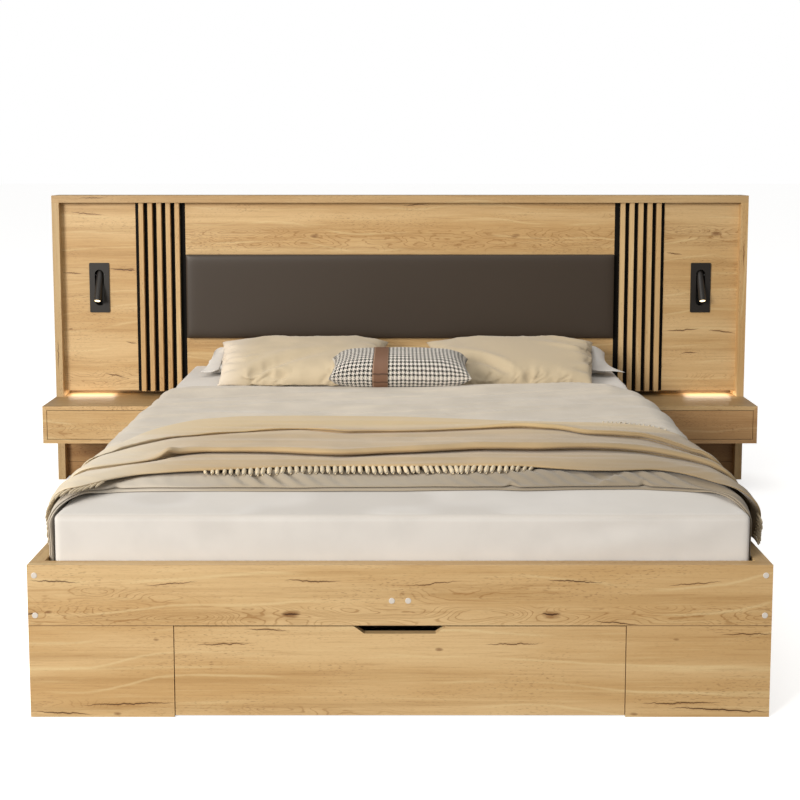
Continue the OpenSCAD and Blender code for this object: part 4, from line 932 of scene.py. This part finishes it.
LEATHER = "#75543f"
STRAP_LOW, STRAP_HIGH = -0.372, -0.140  # the strap's edges across the cushion, from -1 to 1
strap_brown = new_material("brown_strap", LEATHER, 0.6)
spot = split(place_on(strap_brown, "UV"))
stitches = (spot[1] * 34.0).calc("FLOORED_MODULO", 1.0).calc("LESS_THAN", 0.7)
thread = stitches * abs(abs(spot[0] + 0.2525) - 0.092).calc("LESS_THAN", 0.0035)
feed(strap_brown, "Base Color", mix(thread * 0.8, colour(LEATHER), colour("#b9a087")))
mix_in_colour(strap_brown, ramp(abs(spot[1] + 0.975), 0.014, 0.004) * 0.7, colour("#3d281b"))
normals = np.array([v.normal for v in lumbar.data.vertices])
inside = (u > STRAP_LOW) & (u < STRAP_HIGH)
kept = [f.vertices[:] for f in lumbar.data.polygons if all(inside[i] for i in f.vertices)]
used = sorted({i for f in kept for i in f})
index = {i: k for k, i in enumerate(used)}
strap = shape("lumbar_strap", points[used] + normals[used] * 0.0006,
              [[index[i] for i in f] for f in kept], strap_brown, np.stack([u, v], -1)[used])
solid = strap.modifiers.new("leather", "SOLIDIFY")
solid.thickness, solid.offset = 0.0014, 1
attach(strap, "bed")

# ---- Room, light and camera ----------------------------------------------------------------------
# Plain pale floor, a large soft light from the upper left, a weaker one above and a glow on each shelf.


def floor_plane(name, z, material):
    made = shape(name, [(-30, -30, z), (30, -30, z), (30, 60, z), (-30, 60, z)], [(0, 1, 2, 3)], material)
    return made


# the floor is seen pale, and a duller one just below it sends the light back, as a studio floor does
pale_floor = new_material("pale_floor", "#f4f3f1", 0.9, Emission_Color=colour("#ffffff"), Emission_Strength=0.6)
seen = floor_plane("floor", -0.0005, pale_floor)
seen.visible_diffuse = seen.visible_glossy = seen.visible_shadow = False
bounce = floor_plane("floor_bounce", -0.002, new_material("dull_floor", "#948f88", 0.9))
bounce.visible_camera = False


def area_light(name, place, aim, size, power, code="#ffffff"):
    data = bpy.data.lights.new(name, "AREA")
    data.shape, data.size, data.size_y = "RECTANGLE", size[0], size[1]
    data.energy, data.color = power, colour(code)[:3]
    made = bpy.data.objects.new(name, data)
    made.location = place
    made.rotation_euler = (Vector(aim) - Vector(place)).to_track_quat("-Z", "Y").to_euler()
    bpy.context.scene.collection.objects.link(made)
    return made


area_light("key_left", (-6.0, -7.0, 3.6), (0.0, 0.0, 0.5), (3.4, 3.4), 860, "#fffaf3")
area_light("top_soft", (-0.4, -0.2, 3.6), (0, 0.1, 0), (3.0, 3.0), 34, "#fffdf9")
for side in (-1, 1):
    x = side * 1.225
    glow = area_light("shelf_glow", (x, 1.016, 0.3530), (x, 1.015, 0.334), (0.18, 0.07), 0.20, "#fff2e2")
    glow.visible_camera = False

WHITE = (1, 1, 1, 1)
world = bpy.data.worlds.new("white_room")
world.use_nodes = True
tree = world.node_tree
soft = tree.nodes["Background"]
soft.inputs["Color"].default_value = WHITE
soft.inputs["Strength"].default_value = 0.42
white = node(tree, "Background", {"Color": WHITE, "Strength": 1.0})[0]
join = node(tree, "MixShader", {0: node(tree, "LightPath")[0], 1: Value(soft.outputs[0]), 2: white})[0]
tree.links.new(join.socket, tree.nodes["World Output"].inputs["Surface"])
scene = bpy.context.scene
scene.world = world
scene.view_settings.view_transform = "Standard"

camera_data = bpy.data.cameras.new("camera")
camera_data.sensor_width = 36
camera_data.lens = 36 * 1204.8 / 800  # the focal length in pixels over the picture's width
camera_data.shift_y = -0.16
camera_data.clip_end = 200
camera = bpy.data.objects.new("camera", camera_data)
camera.location = (0, cad_low.y - 2.6422, 1.2665)
camera.rotation_euler = (math.pi / 2 - 0.0931, 0, 0)
scene.collection.objects.link(camera)
scene.camera = camera
